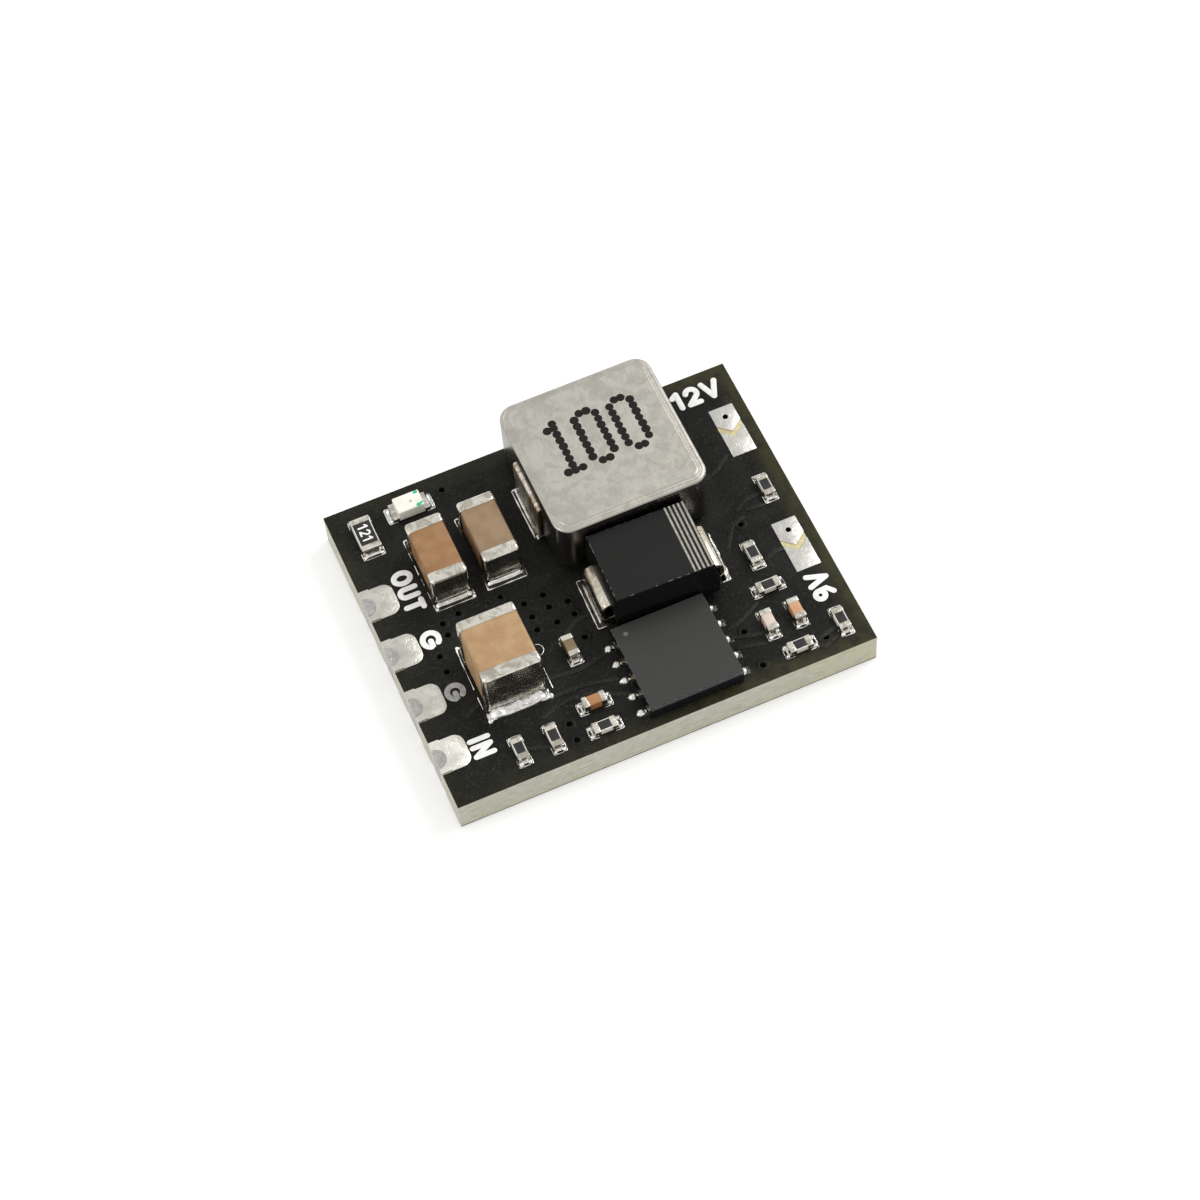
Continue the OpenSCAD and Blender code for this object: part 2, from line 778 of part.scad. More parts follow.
module terminal_solder() {
    outside = inductor_length / 2 + terminal_thickness;
    on_board(inductor_x, inductor_y) both_ends() difference() {
        union() {
            translate([outside - terminal_foot, -terminal_width / 2, -mask_thickness])
                cube([terminal_foot + terminal_margin, terminal_width, land_thickness]);
            heel_solder(outside, terminal_thickness, terminal_width, terminal_bend, terminal_margin,
                terminal_exit / 4);
        }
        terminal();
    }
}

module pin_solder() {
    width = pin_width + land_rise * 2;
    on_board(chip_x, chip_y) {
        pin_rows() translate([-pin_length, -width / 2, -land_thickness])
            cube([pin_length + chip_solder_reach, width, land_thickness]);
        pin_rows() rotate([90, 0, 0]) linear_extrude(pin_width, center = true)
            polygon([[0, -land_rise], [chip_solder_reach, -land_rise], [chip_solder_reach, 0], [0, pin_height]]);
        translate([-heat_pad_width / 2, -heat_pad_length / 2, -mask_thickness])
            cube([heat_pad_width, heat_pad_length, land_thickness]);
    }
}

module all_solder() {
    for (part = chip_parts) part_solder(part);
    lamp_solder();
    lead_solder();
    terminal_solder();
    pin_solder();
}

// the windows that the solder needs in the top mask
module lands(depth) {
    intersection() {
        all_solder();
        translate([0, 0, board_thickness - mask_thickness]) board_slab(mask_thickness);
    }
}

module power_solder() {
    color([0.85, 0.85, 0.83]) {
        for (part = power_caps) part_solder(part);
        lead_solder();
        terminal_solder();
        pin_solder();
    }
}

module small_part_solder() {
    color([0.85, 0.85, 0.83]) {
        for (part = concat(small_caps, resistors)) part_solder(part);
        lamp_solder();
    }
}

// ---------- drawing ----------

laminate();
top_mask();
bottom_mask();
for (i = [0 : len(contact_names) - 1])
    edge_contact(contact_places[i]);
contact_fills();
via_barrels();
solder_link(link_ends[0]);  // nine_volt_link
solder_link(link_ends[1]);  // twelve_volt_link
inductor_core();
inductor_coil();
inductor_left_terminal();
inductor_right_terminal();
diode_body();
diode_left_lead();
diode_right_lead();
converter_chip();
chip_pins();
chip_heat_pad();
for (part = power_caps) {
    power_capacitor(part);
    power_capacitor_ends(part);
}
for (part = small_caps) {
    small_capacitor(part);
    chip_ends(part);
}
for (part = resistors) {
    resistor(part);
    chip_ends(part);
}
resistor_coats();
lamp_base();
lamp_lens();
lamp_ends();
power_solder();
small_part_solder();
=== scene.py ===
import bmesh
import bpy
import math
import random
from mathutils import Matrix, Vector, noise
from mathutils.geometry import tessellate_polygon


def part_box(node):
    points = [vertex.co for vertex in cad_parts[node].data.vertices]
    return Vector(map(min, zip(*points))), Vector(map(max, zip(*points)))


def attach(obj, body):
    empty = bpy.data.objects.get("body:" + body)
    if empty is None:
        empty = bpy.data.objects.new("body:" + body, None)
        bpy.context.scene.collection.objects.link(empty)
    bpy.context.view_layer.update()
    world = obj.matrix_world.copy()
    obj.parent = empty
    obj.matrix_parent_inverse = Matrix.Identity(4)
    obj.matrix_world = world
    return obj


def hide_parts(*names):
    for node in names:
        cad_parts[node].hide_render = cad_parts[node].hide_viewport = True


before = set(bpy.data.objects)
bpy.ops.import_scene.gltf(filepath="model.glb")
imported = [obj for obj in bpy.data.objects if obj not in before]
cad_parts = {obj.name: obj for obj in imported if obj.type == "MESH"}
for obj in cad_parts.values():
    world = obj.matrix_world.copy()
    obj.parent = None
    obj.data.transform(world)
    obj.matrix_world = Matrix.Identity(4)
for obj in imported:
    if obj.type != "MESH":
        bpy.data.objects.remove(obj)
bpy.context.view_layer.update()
mm = 0.001  # everything below is worked out in millimetres


def spot(node):  # lowest and highest corner of a CAD node, in millimetres
    low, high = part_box(node)
    return low / mm, high / mm


def camel(node):  # a piece is named after the CAD node it dresses
    words = node.split("_")
    return words[0] + "".join(w.title() for w in words[1:])


boardLow, boardHigh = spot("top_mask")
maskTop = boardHigh.z
landTop = spot("nine_volt_link")[1].z
print("frame loaded:", len(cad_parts), "nodes")


class Flow:  # a socket of a material that can be reckoned with
    def __init__(self, look, socket):
        self.look, self.socket = look, socket

    def __add__(self, other):
        return self.look.math("ADD", self, other)

    def __sub__(self, other):
        return self.look.math("SUBTRACT", self, other)

    def __rsub__(self, other):
        return self.look.math("SUBTRACT", other, self)

    def __mul__(self, other):
        return self.look.math("MULTIPLY", self, other)

    def __truediv__(self, other):
        return self.look.math("DIVIDE", self, other)

    def __rtruediv__(self, other):
        return self.look.math("DIVIDE", other, self)

    def __abs__(self):
        return self.look.math("ABSOLUTE", self)

    __radd__ = __add__
    __rmul__ = __mul__

    def least(self, other):
        return self.look.math("MINIMUM", self, other)

    def ease(self, start, end, low=0.0, high=1.0):  # smooth step from one value to another
        return self.look.node("ShaderNodeMapRange", {"interpolation_type": "SMOOTHSTEP"},
                              {0: self, 1: start, 2: end, 3: low, 4: high})


class Look:  # one material
    def __init__(self, name):
        self.material = bpy.data.materials.new(name)
        self.material.use_nodes = True
        self.tree = self.material.node_tree
        self.shader = self.tree.nodes["Principled BSDF"]
        self.spots = None

    def feed(self, socket, value):
        if isinstance(value, Flow):
            self.tree.links.new(value.socket, socket)
        elif hasattr(value, "__len__") and socket.type == "RGBA":
            socket.default_value = tuple(value)[:3] + (1.0,)
        else:
            socket.default_value = value

    def node(self, kind, settings, sockets, out=0):
        made = self.tree.nodes.new(kind)
        for key, value in settings.items():
            if key == "stops":
                ramp = made.color_ramp.elements
                while len(ramp) < len(value):
                    ramp.new(0.5)
                for element, (place, colour) in zip(ramp, value):
                    element.position, element.color = place, tuple(colour) + (1.0,)
            else:
                setattr(made, key, value)
        for key, value in sockets.items():
            self.feed(made.inputs[key], value)
        return Flow(self, made.outputs[out])

    def math(self, operation, *values):
        return self.node("ShaderNodeMath", {"operation": operation}, dict(enumerate(values)))

    def blend(self, factor, first, second):  # colour between two
        return self.node("ShaderNodeMix", {"data_type": "RGBA"}, {0: factor, 6: first, 7: second}, 2)

    def place(self):  # millimetres in the part's own frame
        if self.spots is None:
            coords = self.node("ShaderNodeTexCoord", {}, {}, 3)
            sockets = {0: coords, "Scale": 1 / mm}
            self.spots = self.node("ShaderNodeVectorMath", {"operation": "SCALE"}, sockets)
        return self.spots

    def axis(self, index):
        return self.node("ShaderNodeSeparateXYZ", {}, {0: self.place()}, index)

    def facing(self):  # how much a face looks upwards
        normal = self.node("ShaderNodeNewGeometry", {}, {}, 1)
        return self.node("ShaderNodeSeparateXYZ", {}, {0: normal}, 2)

    def grain(self, scale, detail=3.0, stretch=(1, 1, 1), twist=0.0, rough=0.5):
        at = self.node("ShaderNodeVectorMath", {"operation": "MULTIPLY"}, {0: self.place(), 1: stretch})
        return self.node("ShaderNodeTexNoise", {}, {"Vector": at, "Scale": scale, "Detail": detail,
                                                    "Distortion": twist, "Roughness": rough})

    def cells(self, scale):
        return self.node("ShaderNodeTexVoronoi", {}, {"Vector": self.place(), "Scale": scale})

    def ramp(self, factor, *stops):
        return self.node("ShaderNodeValToRGB", {"stops": stops}, {0: factor})

    def finish(self, colour, roughness, metallic=0.0, height=None, **constants):
        self.feed(self.shader.inputs["Base Color"], colour)
        self.feed(self.shader.inputs["Roughness"], roughness)
        self.feed(self.shader.inputs["Metallic"], metallic)
        if height is not None:  # height is in millimetres
            self.feed(self.shader.inputs["Normal"],
                      self.node("ShaderNodeBump", {}, {"Height": height, "Strength": 1.0, "Distance": mm}))
        for key, value in constants.items():
            self.shader.inputs[key.replace("_", " ")].default_value = value
        return self.material


maskValues = dict(black=(0.0062, 0.0062, 0.0054), grey=(0.0128, 0.0130, 0.0108), olive=(0.042, 0.040, 0.016),
                  fleck=(0.050, 0.050, 0.042), dust=(0.26, 0.23, 0.15), oliveReach=1.1, roughness=0.34,
                  ripple=0.011, swell=0.012, shine=0.12)


def makeMask(name, lift=1.0, gloss=maskValues["roughness"]):  # satin black, olive where it thins at the edges
    look, v = Look(name), maskValues
    black, grey, fleck = ([c * lift for c in v[key]] for key in ("black", "grey", "fleck"))
    x, y = look.axis(0), look.axis(1)
    edge = (boardHigh.x - abs(x)).least(boardHigh.y - abs(y))
    tone = look.blend(look.grain(0.9, 4).ease(0.35, 0.7), black, grey)
    tone = look.blend(look.grain(7, 4).ease(0.52, 0.7) * 0.5, tone, v["black"])
    rim = edge.ease(v["oliveReach"], 0.0) * x.ease(-6.0, 9.0, 0.25, 1.0)
    rim = rim * look.grain(2.2).ease(0.2, 0.7, 0.35, 1.0)
    tone = look.blend(rim, tone, v["olive"])
    tone = look.blend(look.grain(11, 4, rough=0.75).ease(0.54, 0.70) * 0.75, tone, fleck)
    speck = look.cells(3.1).ease(0.055, 0.035) * look.grain(1.3, 1).ease(0.50, 0.58)
    tone = look.blend(speck * 0.8, tone, v["dust"])
    height = look.grain(24, 4) * v["ripple"] + look.grain(3.5, 2) * v["swell"]
    return look.finish(tone, look.grain(5, 4).ease(0.2, 0.8, gloss - 0.06, gloss + 0.1),
                       height=height, Specular_IOR_Level=v["shine"])


laminateValues = dict(pale=(0.66, 0.65, 0.55), mid=(0.54, 0.525, 0.43), shade=(0.40, 0.385, 0.29),
                      resin=(0.64, 0.59, 0.34), plies=8, roughness=0.62, fibreDepth=0.03, pitDepth=0.012)


def makeLaminate():  # sawn edge of woven glass in resin
    look, v = Look("cut laminate"), laminateValues
    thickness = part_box("laminate")[1].z / mm
    level = look.axis(2) / thickness
    streak = look.grain(2.4, 5, (1, 1, 5.0), 0.6)
    fibre = look.grain(9, 5, (0.5, 0.5, 7.0), 0.3)
    tone = look.ramp(streak * 0.55 + fibre * 0.45, (0.30, v["shade"]), (0.46, v["mid"]), (0.60, v["pale"]))
    ply = look.math("SINE", level * (v["plies"] * 2 * math.pi)) * 0.5 + 0.5
    tone = look.blend(ply * look.grain(3).ease(0.4, 0.7) * 0.35, tone, v["mid"])
    low = level.ease(0.35, 0.0) * look.grain(1.6, 3).ease(0.35, 0.65)
    tone = look.blend(low * 0.6, tone, v["resin"])
    right = look.axis(0).ease(3.5, 9.0) * look.grain(1.1, 2).ease(0.3, 0.6)
    tone = look.blend(right * 0.55, tone, v["resin"])
    tone = look.blend(level.ease(0.9, 1.0) * 0.4, tone, v["pale"])
    height = fibre * v["fibreDepth"] + look.grain(30, 3, (1, 1, 0.6)) * v["pitDepth"]
    return look.finish(tone, v["roughness"], height=height, Specular_IOR_Level=0.4)


def makeTin(name, tone=(0.70, 0.69, 0.65), dull=(0.50, 0.49, 0.46), roughness=(0.28, 0.48), wrinkle=0.010,
            scale=3.0, pit=0.0015, stretch=(1, 1, 1)):  # tinned metal with creases and dull patches
    look = Look(name)
    patch = look.grain(scale * 0.8, 4, stretch, 1.2)
    crease = 1 - abs(look.grain(scale, 2, stretch, 1.5) * 2 - 1)
    crease = crease.ease(0.82, 1.0)
    colour = look.blend(patch.ease(0.36, 0.60), dull, tone)
    # the creases are real bump valleys; their darker colour is painted shade in the folds
    colour = look.blend(crease * 0.25, colour, dull)
    height = crease * (-wrinkle) + look.grain(scale * 2.2, 3, stretch) * wrinkle * 1.2
    height = height + look.grain(scale * 14, 2) * pit
    return look.finish(colour, patch.ease(0.25, 0.75, roughness[1], roughness[0]), 1.0, height)


def makeCeramic(name, tone, deep, pale):  # fired ceramic, finely mottled
    look = Look(name)
    cloud = look.grain(1.6, 4)
    speck = look.grain(22, 3)
    colour = look.blend(cloud.ease(0.3, 0.75), deep, tone)
    colour = look.blend(speck.ease(0.52, 0.75) * 0.35, colour, pale)
    colour = look.blend(look.grain(11, 2).ease(0.62, 0.72) * 0.3, colour, deep)
    return look.finish(colour, look.grain(8, 3).ease(0.2, 0.8, 0.34, 0.52),
                       height=speck * 0.004 + look.grain(4, 2) * 0.006, Specular_IOR_Level=0.5)


# wall is a dark colour painted on the core's walls: painted shade and a painted reflection of the dark board
# around them, not the core's own colour
coreValues = dict(tone=(0.501, 0.481, 0.429), deep=(0.429, 0.41, 0.362), pale=(0.625, 0.606, 0.55),
                  wall=(0.23, 0.22, 0.205), roughness=0.36, wallRoughness=0.27, metallic=1.0, topFade=0.15)


def makeCore():  # pressed alloy powder under a satin coat: blotched on top, smooth and glossy down the walls
    look, v = Look("pressed core"), coreValues
    up = look.facing().ease(0.25, 0.8)
    drawn = look.grain(3.0, 4, (3.2, 0.35, 1))
    blotch = look.grain(1.7, 5, twist=0.8, rough=0.62)
    speck = look.grain(16, 4)
    colour = look.blend(blotch.ease(0.38, 0.60), v["deep"], v["tone"])
    colour = look.blend(speck.ease(0.5, 0.75) * 0.5, colour, v["pale"])
    colour = look.blend(drawn.ease(0.5, 0.75) * 0.6, colour, v["deep"])
    # the walls take the dark wall colour: painted shade and a painted reflection of the dark board
    colour = look.blend(up, v["wall"], colour)
    height = (drawn * 0.003 + blotch * 0.003 + speck * 0.0045) * (up * 0.9 + 0.1)
    satin = blotch.ease(0.3, 0.7, v["roughness"] - 0.04, v["roughness"] + 0.08)
    roughness = up * (satin - v["wallRoughness"]) + v["wallRoughness"]
    return look.finish(colour, roughness, v["metallic"] - up * v["topFade"], height)


# the pale edge colour is partly real edge wear and partly a painted highlight of the shiny rounded edge
mouldValues = dict(wear=(0.30, 0.30, 0.28), edgeWearAndSheenStrength=0.7, specks=0.35, shade=0.72)


def makeMould(name, top, side, topRough, sideRough, level, ripple=0.004):  # moulding compound, matt on top
    look, v = Look(name), mouldValues
    up = look.facing().ease(0.75, 0.95)
    speck = look.grain(30, 4)
    colour = look.blend(speck.ease(0.35, 0.7), [c * v["shade"] for c in top], top)
    colour = look.blend(up, side, colour)
    specks = look.cells(5.0).ease(0.05, 0.03) * up * v["specks"]
    colour = look.blend(specks, colour, [min(1, c * 5) for c in top])
    rounding = look.facing().ease(0.42, 0.60) * (1 - look.facing().ease(0.80, 0.95))  # not the leaning walls
    # pale patches along the rounded top edge: partly edge wear, partly a painted highlight
    colour = look.blend(rounding * look.grain(5.5, 3).ease(0.50, 0.60) * v["edgeWearAndSheenStrength"], colour, v["wear"])
    height = speck * ripple + look.grain(6, 2) * ripple
    return look.finish(colour, up * (topRough - sideRough) + sideRough,
                       height=height, Specular_IOR_Level=level)


def makePlain(name, tone, shade, roughness, scale=6.0, ripple=0.003, **constants):  # print, lens, plain parts
    look = Look(name)
    cloud = look.grain(scale, 3)
    colour = look.blend(cloud.ease(0.35, 0.7), shade, tone)
    return look.finish(colour, cloud.ease(0.3, 0.7, roughness, roughness + 0.08),
                       height=cloud * ripple, **constants)


looks = dict(
    topMask=makeMask("solder mask"),
    trackMask=makeMask("mask over copper", 2.0, 0.28),
    laminate=makeLaminate(),
    pad=makeTin("tinned pad", (0.665, 0.65, 0.59), (0.545, 0.528, 0.475), (0.30, 0.42), 0.004, 2.0),
    # the same tin as the pad, painted brighter for the input contact: a painted highlight
    brightPad=makeTin("tinned pad with painted highlight", (0.91, 0.895, 0.83), (0.77, 0.75, 0.68), (0.28, 0.40), 0.006, 2.0),
    link=makeTin("link pad", (0.66, 0.65, 0.61), (0.55, 0.535, 0.495), (0.34, 0.46), 0.004, 2.2),
    fill=makeTin("hole solder", (0.50, 0.48, 0.46), (0.40, 0.38, 0.36), (0.34, 0.48), 0.006, 3.5),
    lead=makeTin("tinned strip", (0.80, 0.77, 0.69), (0.56, 0.49, 0.38), (0.13, 0.22), 0.0025, 1.6,
                 0.0006, (1, 1.3, 0.3)),
    # the dark brown tone, drawn out in upright streaks, is a painted reflection of the dark and brown
    # surroundings in the glossy strap
    strap=makeTin("strap", (0.80, 0.75, 0.66), (0.36, 0.25, 0.15), (0.26, 0.42), 0.012, 2.6,
                  0.001, (1, 1.8, 0.22)),
    capEnd=makeTin("fired tin", (0.78, 0.75, 0.67), (0.46, 0.43, 0.36), (0.13, 0.24), 0.0022, 2.4, 0.0005),
    solder=makeTin("solder", (0.86, 0.85, 0.82), (0.66, 0.65, 0.62), (0.05, 0.12), 0.003, 4.0, 0.0004),
    # a near-black tin for the lands: painted shade and painted dark reflections of the parts above them
    flux=makeTin("land painted dark for shade", (0.060, 0.052, 0.042), (0.026, 0.023, 0.019), (0.12, 0.25), 0.003, 4.0,
                 0.0004),
    copper=makeTin("copper", (0.72, 0.42, 0.25), (0.55, 0.30, 0.17), (0.25, 0.4), 0.003, 4.0),
    lightCeramic=makeCeramic("light ceramic", (0.455, 0.3, 0.155), (0.37, 0.215, 0.095), (0.60, 0.43, 0.27)),
    brownCeramic=makeCeramic("brown ceramic", (0.335, 0.18, 0.072), (0.26, 0.125, 0.045), (0.46, 0.30, 0.17)),
    paleCeramic=makeCeramic("pale ceramic", (0.310, 0.205, 0.114), (0.24, 0.155, 0.082), (0.43, 0.32, 0.21)),
    orangeCeramic=makeCeramic("orange ceramic", (0.42, 0.19, 0.070), (0.31, 0.125, 0.04), (0.58, 0.33, 0.17)),
    apricotCeramic=makeCeramic("apricot ceramic", (0.62, 0.37, 0.21), (0.52, 0.27, 0.13), (0.76, 0.55, 0.38)),
    roseCeramic=makeCeramic("rose ceramic", (0.72, 0.60, 0.52), (0.60, 0.47, 0.38), (0.84, 0.76, 0.70)),
    oliveCeramic=makeCeramic("olive ceramic", (0.30, 0.225, 0.120), (0.22, 0.155, 0.075), (0.45, 0.36, 0.23)),
    core=makeCore(),
    diode=makeMould("diode mould", (0.0100, 0.0100, 0.0092), (0.005, 0.005, 0.005), 0.46, 0.20, 0.2),
    chip=makeMould("chip mould", (0.038, 0.039, 0.036), (0.006, 0.007, 0.010), 0.56, 0.12, 0.35),
    alumina=makePlain("alumina", (0.80, 0.78, 0.72), (0.66, 0.64, 0.58), 0.5),
    coat=makePlain("black coat", (0.014, 0.014, 0.014), (0.008, 0.008, 0.008), 0.28),
    ink=makePlain("white print", (0.90, 0.90, 0.88), (0.80, 0.80, 0.78), 0.55),
    # a grey print for one label, darker than the white of the others
    greyedInk=makePlain("greyed print", (0.42, 0.42, 0.41), (0.30, 0.30, 0.29), 0.55),
    greyInk=makePlain("laser mark", (0.40, 0.38, 0.33), (0.28, 0.26, 0.22), 0.55),
    darkInk=makePlain("dark mark", (0.012, 0.008, 0.006), (0.006, 0.005, 0.004), 0.6, Specular_IOR_Level=0.2),
    resin=makePlain("bare resin", (0.74, 0.66, 0.40), (0.58, 0.50, 0.26), 0.45),
    dotInk=makePlain("corner dot", (0.15, 0.15, 0.14), (0.09, 0.09, 0.085), 0.55),
    greenInk=makePlain("green mark", (0.03, 0.42, 0.20), (0.05, 0.55, 0.32), 0.5),
    lampBase=makePlain("lamp base", (0.82, 0.80, 0.72), (0.66, 0.63, 0.52), 0.45),
    lens=makePlain("lamp lens", (0.88, 0.87, 0.80), (0.80, 0.78, 0.68), 0.3, 3.0),
)
print("materials made:", len(looks))


def softOutline(lengthX, lengthY, corner, steps=5):  # rounded rectangle
    corner = max(0.002, min(corner, lengthX / 2 - 0.001, lengthY / 2 - 0.001))
    signs = ((1, 1), (-1, 1), (-1, -1), (1, -1))
    return [Vector((signs[q][0] * (lengthX / 2 - corner) + corner * math.cos(math.pi / 2 * (q + s / steps)),
                    signs[q][1] * (lengthY / 2 - corner) + corner * math.sin(math.pi / 2 * (q + s / steps))))
            for q in range(4) for s in range(steps + 1)]


def roundOver(inset, level, radius, steps=4):  # profile of an edge rounded over to a higher level
    turns = [math.pi / 2 * s / steps for s in range(steps + 1)]
    return [(inset + radius * (1 - math.cos(a)), level - radius + radius * math.sin(a)) for a in turns]


def shrink(outline, distance):  # every side moved in by a distance
    moved = []
    for i, here in enumerate(outline):
        before = (here - outline[i - 1]).normalized()
        after = (outline[(i + 1) % len(outline)] - here).normalized()
        first, second = Vector((-before.y, before.x)), Vector((-after.y, after.x))
        moved.append(here + (first + second) * (distance / max(0.35, 1 + first.dot(second))))
    return moved


def arc(centreX, centreY, radiusX, radiusY, start, end, steps=14):
    turns = [math.radians(start + (end - start) * s / steps) for s in range(steps + 1)]
    return [Vector((centreX + radiusX * math.cos(a), centreY + radiusY * math.sin(a))) for a in turns]


def softPath(points, radius, steps=6):  # a run of straight lines with its bends rounded
    points = [Vector(p) for p in points]
    path = [points[0]]
    for before, here, after in zip(points, points[1:], points[2:]):
        one, two = (before - here).normalized(), (after - here).normalized()
        reach = min(radius, (before - here).length * 0.48, (after - here).length * 0.48)
        first, last = here + one * reach, here + two * reach
        for s in range(steps + 1):
            t = s / steps
            path.append(first * (1 - t) ** 2 + here * 2 * t * (1 - t) + last * t * t)
    return path + [points[-1]]


def circle(radius, count, centreY=0):
    return arc(0, centreY, radius, radius, 0, 360 - 360 / count, count - 1)


def heading(path, i):  # which way a path runs at one of its points
    return (path[min(i + 1, len(path) - 1)] - path[max(i - 1, 0)]).normalized()


def ribbon(path, radius, steps=6):  # outline of a stroke with round ends
    left, right = [], []
    for i, here in enumerate(path):
        run = heading(path, i)
        side = Vector((-run.y, run.x)) * radius
        left.append(here + side)
        right.append(here - side)
    outline = list(right)
    for end, run in ((path[-1], path[-1] - path[-2]), (path[0], path[0] - path[1])):
        start = math.atan2(run.y, run.x) - math.pi / 2
        turns = [start + math.pi * s / steps for s in range(1, steps)]
        outline += [end + Vector((math.cos(a), math.sin(a))) * radius for a in turns]
        if end is path[-1]:
            outline += reversed(left)
    return outline


def at(x, y, z=0.0, turn=0.0):  # a place in the part's frame, turned about the upright
    return Matrix.Translation((x, y, z)) @ Matrix.Rotation(math.radians(turn), 4, "Z")


def onBoard(x, y, z=0.0, turn=0.0):  # the same, from the board's front left corner and the mask's top
    return at(boardLow.x + x, boardLow.y + y, maskTop + z, turn)


def endFront(place, reach, turn):  # on the mask below the end of a part, looking out from it
    return place @ at(0, 0, 0, turn) @ at(reach, 0, maskTop - place.translation.z)


class Shape:  # points and faces of a piece, in millimetres
    def __init__(self):
        self.points, self.faces = [], []

    def loft(self, rings, closed=True):
        start, count = len(self.points), len(rings[0])
        for ring in rings:
            self.points += [Vector(p) for p in ring]
        for r in range(len(rings) - 1):
            for i in range(count):
                a, b = start + r * count + i, start + r * count + (i + 1) % count
                self.faces.append((a, b, b + count, a + count))
        if closed:
            last = start + (len(rings) - 1) * count
            self.faces.append(tuple(start + i for i in reversed(range(count))))
            self.faces.append(tuple(last + i for i in range(count)))
        return self

    def stack(self, lengthX, lengthY, corner, profile, steps=5):  # upright, from pairs of inset and height
        outlines = [(softOutline(lengthX - 2 * inset, lengthY - 2 * inset, corner - inset, steps), z)
                    for inset, z in profile]
        return self.loft([[(p.x, p.y, z) for p in outline] for outline, z in outlines])

    def bar(self, width, height, corner, profile, steps=5):  # lying along X, from pairs of inset and distance
        outlines = [(softOutline(width - 2 * inset, height - 2 * inset, corner - inset, steps), x)
                    for inset, x in profile]
        return self.loft([[(x, p.x, p.y + height / 2) for p in outline] for outline, x in outlines])

    def wall(self, rings):  # open wall through pairs of outline and height
        return self.loft([[(p.x, p.y, z) for p in outline] for outline, z in rings], closed=False)

    def plate(self, outline, low, high, edge=0.01, hole=None):  # flat plate with a softened top edge
        crown = shrink(outline, edge)
        self.wall([(outline, low), (outline, high - edge), (shrink(outline, edge * 0.3), high - edge * 0.3),
                   (crown, high)])
        top, bottom = [crown], [outline]
        if hole is not None:
            rim = shrink(hole, -edge)
            self.wall([(hole[::-1], low), (hole[::-1], high - edge), (rim[::-1], high)])
            top.append(rim)
            bottom.append(hole)
        for loops, z in ((top, high), (bottom, low)):
            base = len(self.points)
            self.points += [Vector((p.x, p.y, z)) for loop in loops for p in loop]
            flat = [[Vector((p.x, p.y, 0)) for p in loop] for loop in loops]
            self.faces += [tuple(base + i for i in face) for face in tessellate_polygon(flat)]
        return self

    def lump(self, top, base):  # closed solid under a grid of points
        rows, columns = len(top), len(top[0])
        start = len(self.points)
        under = rows * columns
        grid = [p for row in top for p in row]
        self.points += grid + [Vector((p.x, p.y, base)) for p in grid]
        for r in range(rows - 1):
            for c in range(columns - 1):
                a = start + r * columns + c
                quad = (a, a + columns, a + columns + 1, a + 1)
                self.faces += [quad, tuple(i + under for i in reversed(quad))]
        left = [r * columns for r in range(rows)]
        bottom = [(rows - 1) * columns + c for c in range(1, columns)]
        right = [r * columns + columns - 1 for r in range(rows - 2, -1, -1)]
        border = left + bottom + right + list(range(columns - 2, 0, -1))
        for here, there in zip(border, border[1:] + border[:1]):
            self.faces.append((start + here, start + there, start + there + under, start + here + under))
        return self

    def add(self, other, place=None):
        start = len(self.points)
        self.points += [place @ p if place else p for p in other.points]
        self.faces += [tuple(start + i for i in face) for face in other.faces]
        return self

    def both(self, other, place):  # a shape and its mirror image across X
        self.add(other, place)
        return self.add(other, place @ Matrix.Scale(-1, 4, (1, 0, 0)))

    def piece(self, name, look, slot, replaced=(), sharp=38):
        work = bmesh.new()
        corners = [work.verts.new(p) for p in self.points]
        for face in self.faces:
            if len(set(face)) > 2:
                try:
                    work.faces.new([corners[i] for i in face])
                except ValueError:  # the same face twice
                    pass
        bmesh.ops.remove_doubles(work, verts=work.verts, dist=1e-5)
        bmesh.ops.recalc_face_normals(work, faces=work.faces)
        for face in work.faces:
            face.smooth = True
        for vert in work.verts:
            vert.co *= mm
        mesh = bpy.data.meshes.new(name)
        work.to_mesh(mesh)
        work.free()
        mesh.set_sharp_from_angle(angle=math.radians(sharp))
        mesh.materials.append(looks[look])
        made = bpy.data.objects.new(name, mesh)
        bpy.context.scene.collection.objects.link(made)
        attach(made, "root")
        if replaced:
            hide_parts(*replaced)
        return made


def dress(node, look):  # a CAD node that keeps its own shape
    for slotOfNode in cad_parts[node].material_slots:
        slotOfNode.material = looks[look]


dress("laminate", "laminate")
dress("top_mask", "topMask")
dress("bottom_mask", "topMask")
dress("via_barrels", "topMask")
dress("inductor_coil", "copper")
dress("chip_heat_pad", "lead")

contactNames = ("input_contact", "input_ground_contact", "output_ground_contact", "output_contact")
contactValues = dict(holeRadius=0.5, plating=0.06, corner=0.42, step=0.05, edge=0.022, thickness=0.05,
                     solderSink=0.004, solderDish=0.03, solderGap=0.002)
contactBore = contactValues["holeRadius"] - contactValues["plating"]


def halfRound(radius, steps=12):
    return arc(0, 0, radius, radius, -90, 90, steps)


def contactSpot(node):  # place of the half hole's middle, reach into the board and half the width
    low, high = spot(node)
    half = (high.y - low.y - contactValues["step"]) / 2
    return at(low.x, low.y + half), high.x - low.x, half


def contactOutline(reach, half):
    corner, step = contactValues["corner"], contactValues["step"]
    outline = [Vector((0, -half + step)), Vector((corner, -half + step)), Vector((corner, -half))]
    outline += arc(reach - corner, -half + corner, corner, corner, -90, 0, 6)
    outline += arc(reach - corner, half - corner, corner, corner, 0, 90, 6)
    outline += [Vector((corner, half)), Vector((corner, half + step)), Vector((0, half + step))]
    return outline + halfRound(contactBore)[::-1]


